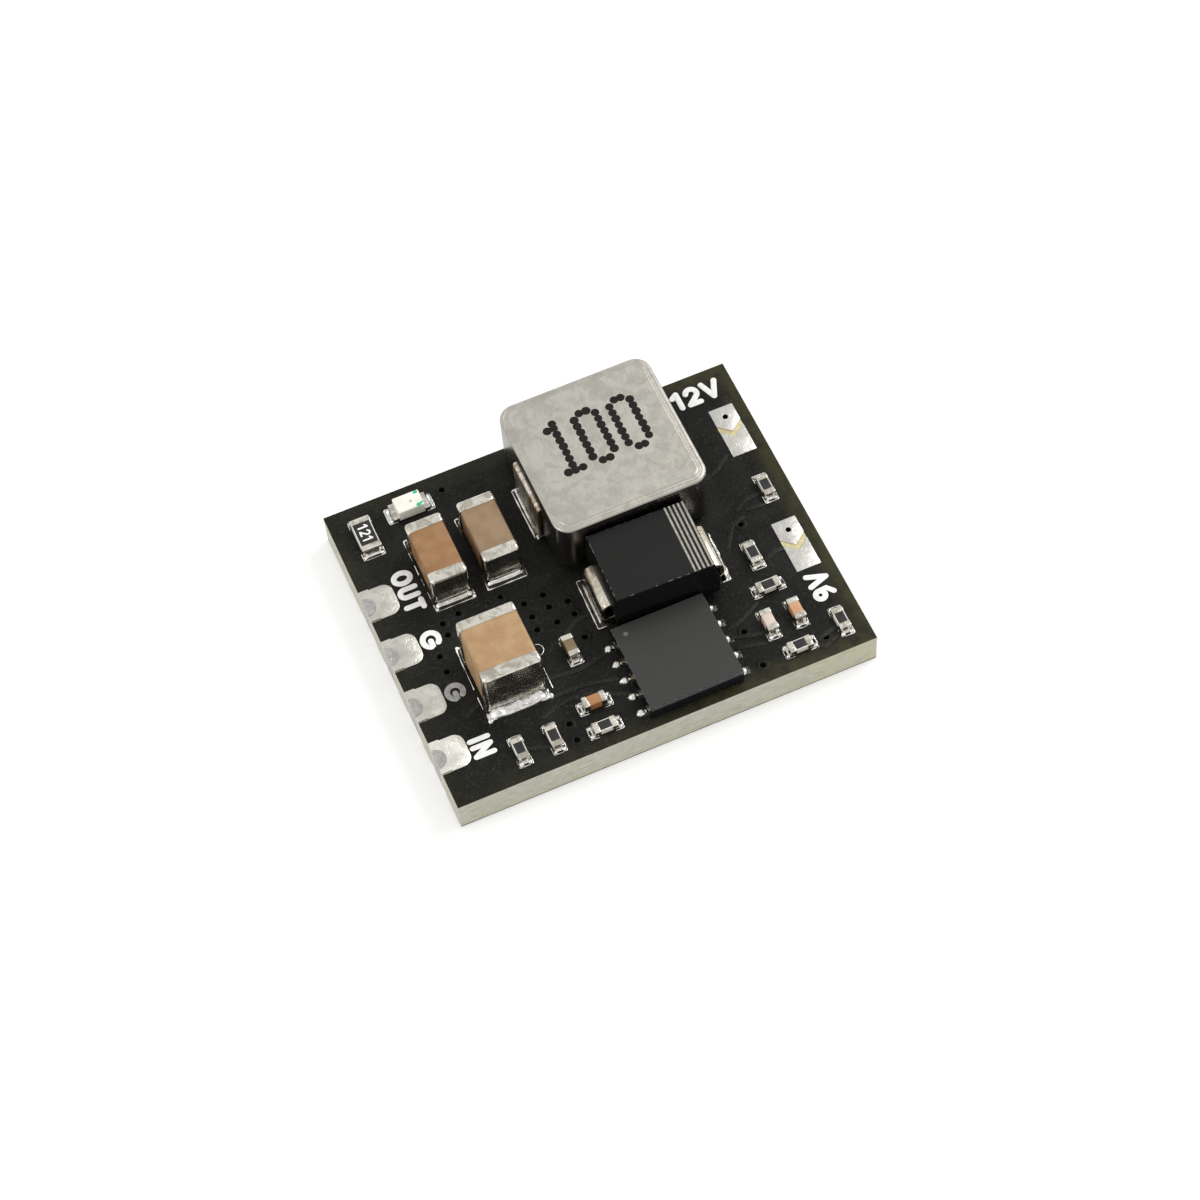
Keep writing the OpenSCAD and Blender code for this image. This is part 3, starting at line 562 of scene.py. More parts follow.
def makeContact(node, look):
    v, (low, high) = contactValues, spot(node)
    place, reach, half = contactSpot(node)
    outline = contactOutline(reach, half)
    shape = Shape().plate(outline, maskTop - v["thickness"], high.z, v["edge"])
    shape.plate(outline, low.z, v["thickness"], 0.004)
    wall = halfRound(v["holeRadius"]) + halfRound(contactBore)[::-1]
    shape.plate(wall, v["thickness"], maskTop - v["thickness"], 0.001)
    Shape().add(shape, place).piece(camel(node), look, "tinned_pad", [node])


def holeSolder(top, rings=8):  # half a disc of solder, lowest at the middle of the hole
    v, rows = contactValues, []
    for k in range(rings + 1):
        radius = (contactBore - v["solderGap"]) * k / rings + 0.001
        z = top - v["solderSink"] - v["solderDish"] * (1 - (k / rings) ** 2)
        rows.append([Vector((p.x + 0.001, p.y, z)) for p in halfRound(radius, 14)])
    return Shape().lump(rows, 0.002)


fillShape = Shape()
for contactNode in contactNames:
    # the input contact takes the pad tin painted brighter as a highlight
    makeContact(contactNode, "brightPad" if contactNode == "input_contact" else "pad")
    fillShape.add(holeSolder(spot(contactNode)[1].z), contactSpot(contactNode)[0])
fillShape.piece("holeSolder", "fill", "hole_solder", ["contact_fills"])


def viaPlaces(apart=0.4):  # middle of each small plated hole, from the CAD barrels
    found = []
    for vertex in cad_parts["via_barrels"].data.vertices:
        here = Vector(vertex.co[:2]) / mm
        for group in found:
            if (group[0] - here).length < apart:
                group.append(here)
                break
        else:
            found.append([here])
    return [Vector([(min(p[k] for p in group) + max(p[k] for p in group)) / 2 for k in (0, 1)])
            for group in found]


collarValues = dict(bore=0.12, outer=0.3, rise=0.032)


def collar(bore, outer, rise, count=28):  # low ring of mask or tin around a small hole
    section = [(bore, -0.05), (bore, rise * 0.3), (bore + 0.02, rise * 0.8), (bore + 0.05, rise),
               (outer - 0.06, rise * 0.85), (outer - 0.02, rise * 0.4), (outer, -0.004), (outer, -0.05)]
    return Shape().wall([(circle(r, count), z) for r, z in section])


linkLow = spot("nine_volt_link")[0]
collars = Shape()
for hole in viaPlaces():
    if hole.x < linkLow.x:  # the two at the link pads are open metal
        ring = collar(collarValues["bore"], collarValues["outer"], collarValues["rise"])
        collars.add(ring, at(hole.x, hole.y, maskTop))
collars.piece("viaCollars", "topMask", "solder_mask")

trackValues = dict(half=0.10, rise=0.032, edge=0.02, bend=0.35, ringRadius=0.40, ringWidth=0.07,
                   ringSpot=(5.78, 5.21), layer=0.0008)
tracks = (  # copper under the mask, from the front left corner
    ((5.20, 3.84), (6.72, 3.64), (8.05, 3.94)), ((5.22, 2.94), (6.43, 2.97), (7.90, 2.66)),
    ((4.58, 2.25), (5.40, 2.56), (6.43, 2.57), (8.05, 1.83)), ((14.40, 6.30), (14.97, 7.23), (15.56, 7.38)),
    ((15.50, 7.80), (15.98, 8.12), (16.70, 8.14)), ((15.90, 7.66), (16.54, 7.60)),
    ((12.85, 2.84), (13.42, 2.95), (14.35, 3.44)), ((15.55, 5.16), (15.96, 5.35), (16.35, 5.35)),
    ((15.95, 0.46), (16.80, 0.83)), ((12.62, 2.48), (13.59, 2.15), (14.05, 2.10)),
    ((12.80, 1.88), (13.78, 1.67)), ((1.90, 3.60), (2.45, 3.90)), ((6.60, 5.10), (7.30, 5.75), (8.20, 5.90)),
    ((13.90, 9.60), (15.30, 9.75), (16.20, 10.4)), ((4.30, 0.95), (3.45, 1.25)),
    ((15.60, 0.86), (16.70, 1.10)),
)


def makeTracks():
    v, shape = trackValues, Shape()
    for i, points in enumerate(tracks):  # where two tracks cross, their tops don't share a level
        rise = v["rise"] + v["layer"] * (i % 3)
        outline = ribbon(softPath(points, v["bend"]), v["half"])
        shape.add(Shape().plate(outline, -0.01, rise, v["edge"]), onBoard(0, 0))
    outer, inner = circle(v["ringRadius"], 36), circle(v["ringRadius"] - v["ringWidth"], 36)
    shape.add(Shape().plate(outer, -0.01, v["rise"], v["edge"], inner), onBoard(*v["ringSpot"]))
    shape.piece("coveredTracks", "trackMask", "solder_mask")


makeTracks()

linkValues = dict(head=0.85, vee=0.45, slit=0.28, viaBack=0.52, bore=0.12, collar=0.2, step=0.006,
                  resinSink=0.045)
resinShape = Shape()


def makeLink(node, name):  # a pad in two halves, point in notch, with bare board between them
    v, (low, high) = linkValues, spot(node)
    half, length = (high.x - low.x) / 2, high.y - low.y
    near, far = -v["head"], -v["head"] - v["slit"]
    notch = [Vector(p) for p in ((-half, near), (0, near - v["vee"]), (half, near))]
    point = [Vector(p) for p in ((half, far), (0, far - v["vee"]), (-half, far))]
    rear = notch + [Vector((half, 0)), Vector((-half, 0))]
    front = [Vector((-half, -length)), Vector((half, -length))] + point
    hole = circle(v["bore"], 20, -v["viaBack"])
    shape = Shape().plate(rear, low.z, high.z - v["step"], 0.014, hole).plate(front, low.z, high.z, 0.02)
    shape.add(collar(v["bore"], v["collar"], v["step"]), at(0, -v["viaBack"], high.z - v["step"]))
    place = at(low.x + half, high.y)
    resinShape.add(Shape().plate((notch + point)[::-1], low.z, high.z - v["resinSink"], 0.004), place)
    Shape().add(shape, place).piece(name, "link", "tinned_pad", [node])


for linkNode in ("nine_volt_link", "twelve_volt_link"):
    makeLink(linkNode, camel(linkNode))
resinShape.piece("linkResin", "resin", "laminate")
print("board dressed")


partValues = dict(
    power=dict(end=0.5, plating=0.05, rounding=0.16, bodyRounding=0.11, wave=0.07),
    small=dict(end=0.25, plating=0.03, rounding=0.05, bodyRounding=0.035, wave=0.03),
    resistor=dict(end=0.25, plating=0.02, rounding=0.035, bodyRounding=0.02, wave=0.025),
)
coatValues = dict(overlap=0.03, margin=0.1, top=0.015, thickness=0.045)


def partFrame(node):  # place, length, width and height of a chip part whose length runs along local X
    low, high = spot(node + "_ends")
    size, middle = high - low, (low + high) / 2
    alongY = size.y > size.x
    length, width = (size.y, size.x) if alongY else (size.x, size.y)
    return at(middle.x, middle.y, low.z, 90 if alongY else 0), length, width, size.z


def makeBody(node, look, slot, plating, rounding):
    place, length, width, height = partFrame(node)
    rise = roundOver(0, length / 2 - plating, rounding)
    profile = [(i, -x) for i, x in reversed(rise)] + rise
    body = Shape().bar(width - 2 * plating, height - 2 * plating, rounding, profile)
    Shape().add(body, place @ at(0, 0, plating)).piece(camel(node), look, slot, [node])


def makeEnds(node, end, plating, rounding, seed, wave):
    place, length, width, height = partFrame(node)
    start = length / 2 - end
    profile = [(plating + 0.01, start), (plating * 0.55, start + plating * 0.1),
               (plating * 0.15, start + plating * 0.5), (0, start + plating * 1.2), (0, start + end * 0.5)]
    profile += roundOver(0, length / 2, rounding) + [(rounding + 0.03, length / 2)]
    cap = Shape().bar(width, height, rounding, profile, 6)
    for p in cap.points:  # the fired edge wanders, and the coat is never quite flat
        drift = noise.noise(Vector((seed, p.y * 1.7, p.z * 1.7))) * wave
        fade = max(0.0, min(1.0, (length / 2 - p.x) / end))
        swell = noise.noise(Vector((p.x * 2.2 + seed, p.y * 2.2, p.z * 2.2))) * wave * 0.25
        p.x += drift * fade + min(0.0, swell) * (1 - fade)
    Shape().both(cap, place).piece(camel(node) + "Ends", "capEnd", "tinned_end", [node + "_ends"])


def makePart(node, kind, look, slot, seed):  # a two-ended chip part
    v = partValues[kind]
    makeBody(node, look, slot, v["plating"], v["bodyRounding"])
    makeEnds(node, v["end"], v["plating"], v["rounding"], seed, v["wave"])


powerLooks = dict(input_capacitor=("lightCeramic", "light_ceramic"),
                  output_capacitor_left=("brownCeramic", "brown_ceramic"),
                  output_capacitor_right=("paleCeramic", "pale_ceramic"))
for seed, (partNode, (partLook, partSlot)) in enumerate(powerLooks.items()):
    makePart(partNode, "power", partLook, partSlot, seed * 3.7)

smallLooks = dict(small_capacitor_1="orangeCeramic", small_capacitor_2="oliveCeramic",
                  small_capacitor_3="roseCeramic", small_capacitor_4="apricotCeramic")
for seed, (partNode, partLook) in enumerate(smallLooks.items()):
    makePart(partNode, "small", partLook, "small_ceramic", 20 + seed * 2.3)


def coat(node):  # dark coat over a resistor, between its ends
    v, (place, length, width, height) = coatValues, partFrame(node)
    top = height - v["top"]
    profile = [(0.0, top - v["thickness"]), (0.0, top - 0.012), (0.012, top - 0.003), (0.05, top)]
    bare = length - 2 * partValues["resistor"]["end"]
    return Shape().add(Shape().stack(bare + v["overlap"], width - v["margin"], 0.03, profile, 3), place)


resistorNodes = ["lamp_resistor"] + [f"resistor_{i}" for i in range(1, 9)]
coatShape = Shape()
for seed, partNode in enumerate(resistorNodes):
    makePart(partNode, "resistor", "alumina", "alumina", 40 + seed * 1.9)
    coatShape.add(coat(partNode))
coatShape.piece("resistorCoats", "coat", "resistor_coat", ["resistor_coats"])
print("chip parts made")


def heap(width, reach, climb, thick, seed, lip=0.62, horn=0.0, rim=0.0, hollow=2.6, rows=12, columns=18,
         rough=0.12):
    # solder run out from a wall at local x = 0: hollow against the wall, with a round lip at its edge
    grid = []
    for r in range(rows + 1):
        u = r / rows
        row = []
        for c in range(columns + 1):
            v = -1 + 2 * c / columns
            edge = math.sqrt(max(0.0, 1 - max(0.0, (u - lip) / (1 - lip)) ** 2))
            side = math.sqrt(max(0.0, 1 - max(0.0, (abs(v) - 0.78) / 0.22) ** 2))
            wander = noise.noise(Vector((u * 2.2 + seed, v * 2.2, seed * 0.7)))
            rise = climb * (1 - u) ** hollow * (1 + 0.5 * wander * rough * 4)
            rise += thick * (1 + wander * rough * 2 + horn * math.exp(-((abs(v) - 0.72) / 0.17) ** 2)
                             + rim * math.exp(-((u - 0.74) / 0.15) ** 2))
            out = reach * (u - 0.04) * (1 - 0.10 * abs(v) ** 4 + wander * rough * 0.5 * u)
            row.append(Vector((out, v * width / 2 * (1 - 0.05 * u * u), rise * edge * side)))
        grid.append(row)
    return Shape().lump(grid, -0.03)


def bead(radius, rise, seed, long=1.0, steps=7):  # a drop of solder, long along local x
    rings = []
    for s in range(steps):
        a = math.pi / 2 * s / steps
        ring = []
        for k, p in enumerate(arc(0, 0, radius * math.cos(a), radius * math.cos(a), 0, 342.5, 19)):
            x, y = 1 + 0.08 * math.sin(2 * k + seed), 1 + 0.05 * math.sin(k + seed)
            ring.append((p.x * long * x, p.y * y, rise * math.sin(a)))
        rings.append(ring)
    return Shape().loft([[(p[0], p[1], -0.03) for p in rings[0]]] + rings)


def land(start, end, width, rise=0.010):  # a land in its window in the mask
    outline = [p + Vector(((start + end) / 2, 0)) for p in softOutline(end - start, width, 0.02, 2)]
    return Shape().plate(outline, -0.05, rise, 0.006)


def thread(points, radius, seed, bend=0.07, level=0.018, sides=8):  # uneven solder along the edge of a land
    path = softPath(points, bend)
    fine = []
    for a, b in zip(path, path[1:]):
        count = max(1, round((b - a).length / 0.09))
        fine += [a + (b - a) * k / count for k in range(count)]
    fine.append(path[-1])
    turns = [2 * math.pi * k / sides for k in range(sides)]
    rings = []
    for i, here in enumerate(fine):
        run = heading(fine, i)
        size = 0.8 + 1.3 * noise.noise(Vector((here.x * 2.3 + seed, here.y * 2.3, seed * 0.7)))
        size = radius * max(0.25, size)
        rings.append([(here.x - run.y * size * math.cos(t), here.y + run.x * size * math.cos(t),
                       level + size * math.sin(t)) for t in turns])
    return Shape().loft(rings)


solderValues = dict(
    reach=dict(input_capacitor=(0.28, 0.36), output_capacitor_left=(0.24, 0.16),
               output_capacitor_right=(0.24, 0.14)),  # at the far end and the near end
    rim=dict(input_capacitor=0.075, output_capacitor_left=0.036, output_capacitor_right=0.030),
    climb=dict(input_capacitor=0.24, output_capacitor_left=0.06, output_capacitor_right=0.05),
    farRim=0.035, landReach=0.32, landMargin=0.08, smallRim=0.028, smallLandReach=0.22, smallLandMargin=0.055,
    powerThick=0.09, dropSize=0.105, ringOuter=0.29, ringInner=0.25, ringSpot=(5.52, 5.2), seam=0.032,
)
powerShape, smallShape, landShape = Shape(), Shape(), Shape()


# the land takes the near-black tin painted for shade
def addLand(shape, place, start, end, width, radius, seed):  # dark land, and its bright rim into a shape
    half, lip = width / 2 - radius * 0.6, end - radius * 0.6
    landShape.add(land(start, end, width), place)
    rim = [(lip - 0.35, -half), (lip, -half), (lip, half), (lip - 0.35, half)]
    shape.add(thread(rim, radius, seed), place)


def solderPower(node, seed):
    v = solderValues
    place, length, width = partFrame(node)[:3]
    for end, reach in zip((0, 180), v["reach"][node]):
        front = endFront(place, length / 2, end)
        addLand(powerShape, front, -partValues["power"]["end"], v["landReach"], width + 2 * v["landMargin"],
                v["rim"][node] if end else v["farRim"], seed + end)
        powerShape.add(heap(width + 0.02, reach, v["climb"][node], v["powerThick"] * reach * 3, seed + end,
                            horn=0.9, hollow=4.0), front)


def solderSmall(node, seed):
    v, (place, length, width, height) = solderValues, partFrame(node)
    for end in (0, 180):
        front = endFront(place, length / 2, end)
        addLand(smallShape, front, -partValues["small"]["end"], v["smallLandReach"],
                width + 2 * v["smallLandMargin"], v["smallRim"], seed * 1.7 + end)
        for side in (-1, 1):  # a drop at each corner of the land, and a thin climb between them
            wide = v["dropSize"] + 0.04 * noise.noise(Vector((seed * 1.3, side * 2.1, end * 0.01)))
            drop = bead(wide, wide * 1.3, seed + side, 1.15)
            smallShape.add(drop, front @ at(0.10, side * (width / 2 - 0.06)))
        smallShape.add(heap(width - 0.1, 0.10, height * 0.30, 0.03, seed * 1.7 + end,
                            hollow=3.4, rows=7, columns=10), front)


for seed, partNode in enumerate(powerLooks):
    solderPower(partNode, seed)
seams = (  # bright edges beside the larger parts, from the front left corner
    ((2.55, 3.60), (2.56, 4.20)), ((2.57, 4.55), (2.58, 5.90), (2.62, 6.55)), ((5.42, 3.30), (5.44, 4.30)),
    ((2.56, 11.60), (2.56, 11.20)), ((2.56, 10.95), (2.56, 10.45)), ((2.57, 10.25), (2.57, 9.90)),
    ((2.57, 9.55), (2.58, 9.20)),
)
drops = (  # place from the front left corner, radius and height
    (2.66, 6.62, 0.10, 0.10), (7.62, 10.05, 0.12, 0.13), (2.62, 8.62, 0.09, 0.09), (4.24, 8.60, 0.10, 0.10),
    (5.22, 3.04, 0.15, 0.15), (2.62, 2.98, 0.13, 0.12),
)
for seed, points in enumerate(seams):
    powerShape.add(thread(points, solderValues["seam"], seed * 1.3), onBoard(0, 0))
for x, y, radius, rise in drops:
    powerShape.add(bead(radius, rise, x * 3), onBoard(x, y))
solderRing = Shape().plate(circle(solderValues["ringOuter"], 36), -0.01, 0.012, 0.01,
                           circle(solderValues["ringInner"], 36))
powerShape.add(solderRing, onBoard(*solderValues["ringSpot"]))
for seed, partNode in enumerate(list(smallLooks) + resistorNodes):
    solderSmall(partNode, seed)


inductorValues = dict(corner=0.7, lip=0.12, border=0.36, fall=0.07, step=0.012, foot=0.12)
coreLow, coreHigh = spot("inductor_core")
coreSize, coreMiddle = coreHigh - coreLow, (coreLow + coreHigh) / 2


def makeInductor():  # a rounded block whose top is a low tray with a raised middle
    v, tall = inductorValues, coreSize.z
    shelf, step = tall - v["fall"], tall - v["step"]
    lip, border = v["lip"], v["border"]
    profile = [(v["foot"] + 0.02, 0), (v["foot"] * 0.3, 0.04), (0, v["foot"]), (0, tall * 0.5)]
    profile += roundOver(0, shelf, lip, 5)[:-1]
    profile += [(lip + 0.015, shelf + 0.002), (lip + 0.035, shelf + 0.002), (lip + 0.055, shelf - 0.012),
                (lip + 0.075, shelf), (border - 0.07, shelf + 0.010), (border - 0.025, step - 0.008),
                (border, step), (border + 0.04, step), (border + 0.5, step)]
    body = Shape().stack(coreSize.x, coreSize.y, v["corner"], profile, 10)
    place = at(coreMiddle.x, coreMiddle.y, coreLow.z)
    Shape().add(body, place).piece("inductorCore", "core", "core_metal", ["inductor_core"], 24)


def bentStrip(points, thickness, width, radius, soft=0.03):  # metal strip bent along a path of x and z
    path = softPath(points, radius)
    rings = []
    for i, here in enumerate(path):
        run = heading(path, i)
        across = Vector((-run.y, run.x))
        ring = []
        for p in softOutline(thickness, width, soft, 3):
            corner = here + across * p.x
            ring.append((corner.x, p.y, corner.y))
        rings.append(ring)
    return Shape().loft(rings)


strapValues = dict(thickness=0.13, bend=0.18, foot=1.2, soft=0.04, tuck=0.8, seat=0.005)
strapLow, strapHigh = spot("inductor_left_terminal")
strapWidth = strapHigh.y - strapLow.y


def makeStrap(node, name, side):
    v = strapValues
    outer, half = coreMiddle.x - strapLow.x, v["thickness"] / 2
    level, drop, foot = strapHigh.z - half, outer - half - v["seat"], landTop + half
    points = [(coreSize.x / 2 - v["tuck"], level), (drop, level), (drop, foot), (outer - v["foot"], foot)]
    strap = bentStrip(points, v["thickness"], strapWidth, v["bend"], v["soft"])
    place = at(coreMiddle.x, coreMiddle.y, 0, side)
    Shape().add(strap, place).piece(name, "strap", "tinned_lead", [node], 30)
    addLand(powerShape, at(coreMiddle.x, coreMiddle.y, maskTop, side), outer - v["foot"] - 0.1, outer + 0.22,
            strapWidth, 0.045, side + 2.0)
    powerShape.add(heap(strapWidth + 0.02, 0.11, 0.10, 0.035, side + 5.0, horn=0.9, rows=10, columns=26),
                   place @ at(outer, 0, maskTop))


makeInductor()
makeStrap("inductor_left_terminal", "inductorLeftStrap", 180)
makeStrap("inductor_right_terminal", "inductorRightStrap", 0)

dotValues = dict(radius=0.182, rise=0.006, sink=0.008, pitch=0.3225, first=-0.467, front=-0.75, back=1.70,
                 inset=0.31, jitter=0.012, layer=0.0006, seed=4)


def dotPlaces():  # the printed figures: columns of seven dots, with shorter rows before and behind them
    v = dotValues
    rows = [v["first"] + v["pitch"] * i for i in range(7)]
    places = [(-1.483, y) for y in rows + [v["back"]]]
    places += [(x, v["front"]) for x in (-1.79, -1.475, -1.15)] + [(-1.79, rows[6] - 0.02)]
    for left, right in ((-0.59, 0.332), (0.967, 1.86)):
        places += [(x, y) for x in (left, right) for y in rows]
        places += [(x, y) for y in (v["back"], v["front"] - 0.03) for x in (left + v["inset"], right - 0.30)]
    return places


def makeDots():
    v, shape = dotValues, Shape()
    random.seed(v["seed"])
    for i, (x, y) in enumerate(dotPlaces()):
        size = v["radius"] * random.uniform(0.93, 1.06)
        lift = v["layer"] * (i % 3)  # where two dots meet, their tops don't share a level
        rings = []
        for inset, z in ((0, -0.003), (0, 0.002 + lift), (0.012, 0.004 + lift),
                         (0.05, v["rise"] * 0.85 + lift)):
            rings.append([(p.x * (1 + 0.05 * math.sin(3 * k + i)), p.y, z)
                          for k, p in enumerate(circle(size - inset, 24))])
        drift = random.uniform(-v["jitter"], v["jitter"])
        shape.add(Shape().loft(rings), at(coreMiddle.x + x + drift, coreMiddle.y + y, coreHigh.z - v["sink"]))
    shape.piece("inductorDots", "darkInk", "core_metal")


makeDots()
print("inductor made")


diodeValues = dict(turn=-1.5, length=4.5, width=3.42, corner=0.045, draft=0.08, rightLean=0.13, parting=0.45,
                   partingStep=0.012, soft=0.045, lines=5, linePitch=0.188, lineWidth=0.085, lineMargin=0.075)
diodeLeadValues = dict(thickness=0.2, width=2.05, past=0.46, lean=0.08, bend=0.38, foot=1.2, tuck=0.4,
                       soft=0.05, landMargin=0.2)
diodeLow, diodeHigh = spot("diode_body")
diodeMiddle = (diodeLow + diodeHigh) / 2
diodeTall = diodeHigh.z - diodeLow.z


def makeDiode():
    v, length, width = diodeValues, diodeValues["length"], diodeValues["width"]
    part, draft, soft, step = v["parting"] * diodeTall, v["draft"], v["soft"], v["partingStep"]
    place = at(diodeMiddle.x, diodeMiddle.y, diodeLow.z, v["turn"])
    profile = [(draft + soft, 0), (draft * 0.96, soft), (0.004, part - step), (0, part), (0.004, part + step)]
    profile += roundOver(draft, diodeTall, soft, 4) + [(draft + soft + 0.04, diodeTall)]
    body = Shape().stack(length, width, v["corner"], profile, 4)
    for p in body.points:  # the banded side leans in more above the parting line
        if p.x > 0 and p.z > part:
            p.x -= v["rightLean"] * (p.z - part) / (diodeTall - part)
    Shape().add(body, place).piece("diodeCase", "diode", "diode_mould", ["diode_body"], 30)
    lines = Shape()
    last = length / 2 - draft - v["rightLean"] - v["lineMargin"]
    halfLine, reach = v["lineWidth"] / 2, width / 2 - draft - 0.012
    for i in range(v["lines"]):
        x = last - i * v["linePitch"]
        line = [Vector((x - halfLine, -reach)), Vector((x + halfLine, -reach)),
                Vector((x + halfLine, reach)), Vector((x - halfLine, reach))]
        lines.plate(line, diodeTall - 0.01, diodeTall + 0.002, 0.001)
    Shape().add(lines, place).piece("diodeBand", "greyInk", "diode_mould")


def makeDiodeLead(node, name, side, rim, solder):
    v, half = diodeLeadValues, diodeValues["length"] / 2
    reach = half + v["past"]
    heel = reach - v["thickness"] / 2
    shelf = diodeTall * diodeValues["parting"] + diodeLow.z - v["thickness"] / 2
    foot = landTop + v["thickness"] / 2
    points = [(half - v["tuck"], shelf), (heel - v["lean"], shelf), (heel, foot), (reach - v["foot"], foot)]
    place = at(diodeMiddle.x, diodeMiddle.y, 0, diodeValues["turn"] + side)
    lead = bentStrip(points, v["thickness"], v["width"], v["bend"], v["soft"])
    Shape().add(lead, place).piece(name, "lead", "tinned_lead", [node], 30)
    addLand(powerShape, place @ at(0, 0, maskTop), reach - v["foot"], reach + v["landMargin"],
            v["width"] + 2 * v["landMargin"], rim, side + 4.0)
    wider, out, climb, thick = solder
    powerShape.add(heap(v["width"] + wider, out, climb, thick, side + 9.0, horn=0.4, rim=0.6, columns=22),
                   place @ at(reach - 0.05, 0, maskTop))


makeDiode()
makeDiodeLead("diode_left_lead", "diodeLeftLead", 180, 0.032, (0.0, 0.10, 0.10, 0.03))
makeDiodeLead("diode_right_lead", "diodeRightLead", 0, 0.07, (0.34, 0.25, 0.20, 0.10))
print("diode made")


chipValues = dict(pins=5, pitch=0.8, corner=0.03, soft=0.02, pinWidth=0.3, pinHeight=0.2, dotX=-1.52,
                  dotY=1.55, dotRadius=0.10, landBack=-0.35, landReach=0.42, landMargin=0.03)
chipSolder = ((0, 0.19, 0.95, 0.15), (180, 0.17, 1.5, 0.26))  # side; the drop's radius, length and place
chipLow, chipHigh = spot("converter_chip")
chipSize, chipMiddle = chipHigh - chipLow, (chipLow + chipHigh) / 2


def makeChip():
    soft, tall = chipValues["soft"], chipSize.z
    profile = [(0.01, 0), (0, 0.02)] + roundOver(0, tall, soft, 3) + [(soft + 0.02, tall)]
    body = Shape().stack(chipSize.x, chipSize.y, chipValues["corner"], profile, 3)
    place = at(chipMiddle.x, chipMiddle.y, chipLow.z)
    Shape().add(body, place).piece("chipCase", "chip", "chip_mould", ["converter_chip"], 30)


def makeChipPins():
    v, pins = chipValues, Shape()
    pin = Shape().bar(v["pinWidth"], v["pinHeight"], 0.03, [(0, -0.3), (0, -0.004), (0.01, 0.006)], 2)
    for side, radius, long, out in chipSolder:
        for i in range(v["pins"]):
            edge = at(chipSize.x / 2, (i - (v["pins"] - 1) / 2) * v["pitch"])
            pins.add(pin, at(chipMiddle.x, chipMiddle.y, chipLow.z, side) @ edge)
            front = at(chipMiddle.x, chipMiddle.y, maskTop, side) @ edge
            landShape.add(land(v["landBack"], v["landReach"], v["pinWidth"] + 2 * v["landMargin"]), front)
            powerShape.add(bead(radius, 0.20, i * 1.7 + side, long), front @ at(out, 0))
    pins.piece("chipPins", "lead", "tinned_lead", ["chip_pins"])


def makeChipDot():
    v = chipValues
    dot = Shape().plate(circle(v["dotRadius"], 24), -0.004, 0.002, 0.001)
    place = at(chipMiddle.x + v["dotX"], chipMiddle.y + v["dotY"], chipHigh.z)
    Shape().add(dot, place).piece("chipCornerDot", "dotInk", "chip_mould")


makeChip()
makeChipPins()
makeChipDot()
print("chip made")


lampValues = dict(wrap=0.25, plating=0.02, corner=0.04, lensCorner=0.06, endRounding=0.03, landReach=0.22)
lampMarks = (("greenInk", "lampMarks", ((0.42, 0.30, 0.105, 0.075), (0.36, -0.32, 0.119, 0.085),
                                        (0.50, -0.26, 0.07, 0.05))),
             ("greyInk", "lampSpeck", ((0.10, -0.04, 0.05, 0.04),)))  # place on the lens, radii along X and Y
endsLow, endsHigh = spot("lamp_ends")
lampPlace = at((endsLow.x + endsHigh.x) / 2, (endsLow.y + endsHigh.y) / 2, endsLow.z)
lampLength, lampWidth, lampTall = (high - low for low, high in zip(endsLow, endsHigh))


def makeLampBase():
    v, level = lampValues, spot("lamp_base")[1].z - endsLow.z
    profile = [(0.01, v["plating"]), (0, 0.03)] + roundOver(0, level, 0.02, 3)
    body = Shape().stack(lampLength - 2 * v["plating"], lampWidth - 2 * v["plating"], v["corner"], profile)
    Shape().add(body, lampPlace).piece("lampBase", "lampBase", "lamp_white", ["lamp_base"])


def makeLens():
    low, high = spot("lamp_lens")
    foot, top, corner = low.z - endsLow.z - 0.005, high.z - endsLow.z, lampValues["lensCorner"]
    profile = [(0, foot)] + roundOver(0.0, top, corner, 5) + [(0.16, top)]
    lens = Shape().stack(high.x - low.x, high.y - low.y, corner, profile)
    Shape().add(lens, lampPlace).piece("lampLens", "lens", "lamp_lens", ["lamp_lens"])
    return top


def makeLampEnds():
    v, start, rounding = lampValues, lampLength / 2 - lampValues["wrap"], lampValues["endRounding"]
    profile = [(0.03, start), (0, start + 0.015)] + roundOver(0, lampLength / 2, rounding, 3)
    end = Shape().bar(lampWidth, lampTall, rounding, profile + [(0.05, lampLength / 2)])
    Shape().both(end, lampPlace).piece("lampEnds", "capEnd", "tinned_end", ["lamp_ends"])
    for turn in (0, 180):
        addLand(smallShape, endFront(lampPlace, 0, turn), start, lampLength / 2 + v["landReach"],
                lampWidth, 0.03, turn + 12.0)
        smallShape.add(heap(lampWidth - 0.02, 0.19, 0.16, 0.05, turn + 31.0, horn=0.8, rows=9, columns=14),
                       endFront(lampPlace, lampLength / 2, turn))


makeLampBase()
lensTall = makeLens()
makeLampEnds()
for markLook, markName, markSpots in lampMarks:
    marks = Shape()
    for x, y, radiusX, radiusY in markSpots:
        mark = Shape().plate(arc(0, 0, radiusX, radiusY, 0, 345, 13), -0.006, 0.003, 0.002)
        marks.add(mark, lampPlace @ at(x, y, lensTall))
    marks.piece(markName, markLook, "lamp_lens")

powerShape.piece("powerSolder", "solder", "solder", ["power_solder"], 60)
smallShape.piece("smallPartSolder", "solder", "solder", ["small_part_solder"], 60)
# the lands take the tin painted dark as shade and dark reflection
landShape.piece("solderLands", "flux", "solder")
print("lamp and solder made")


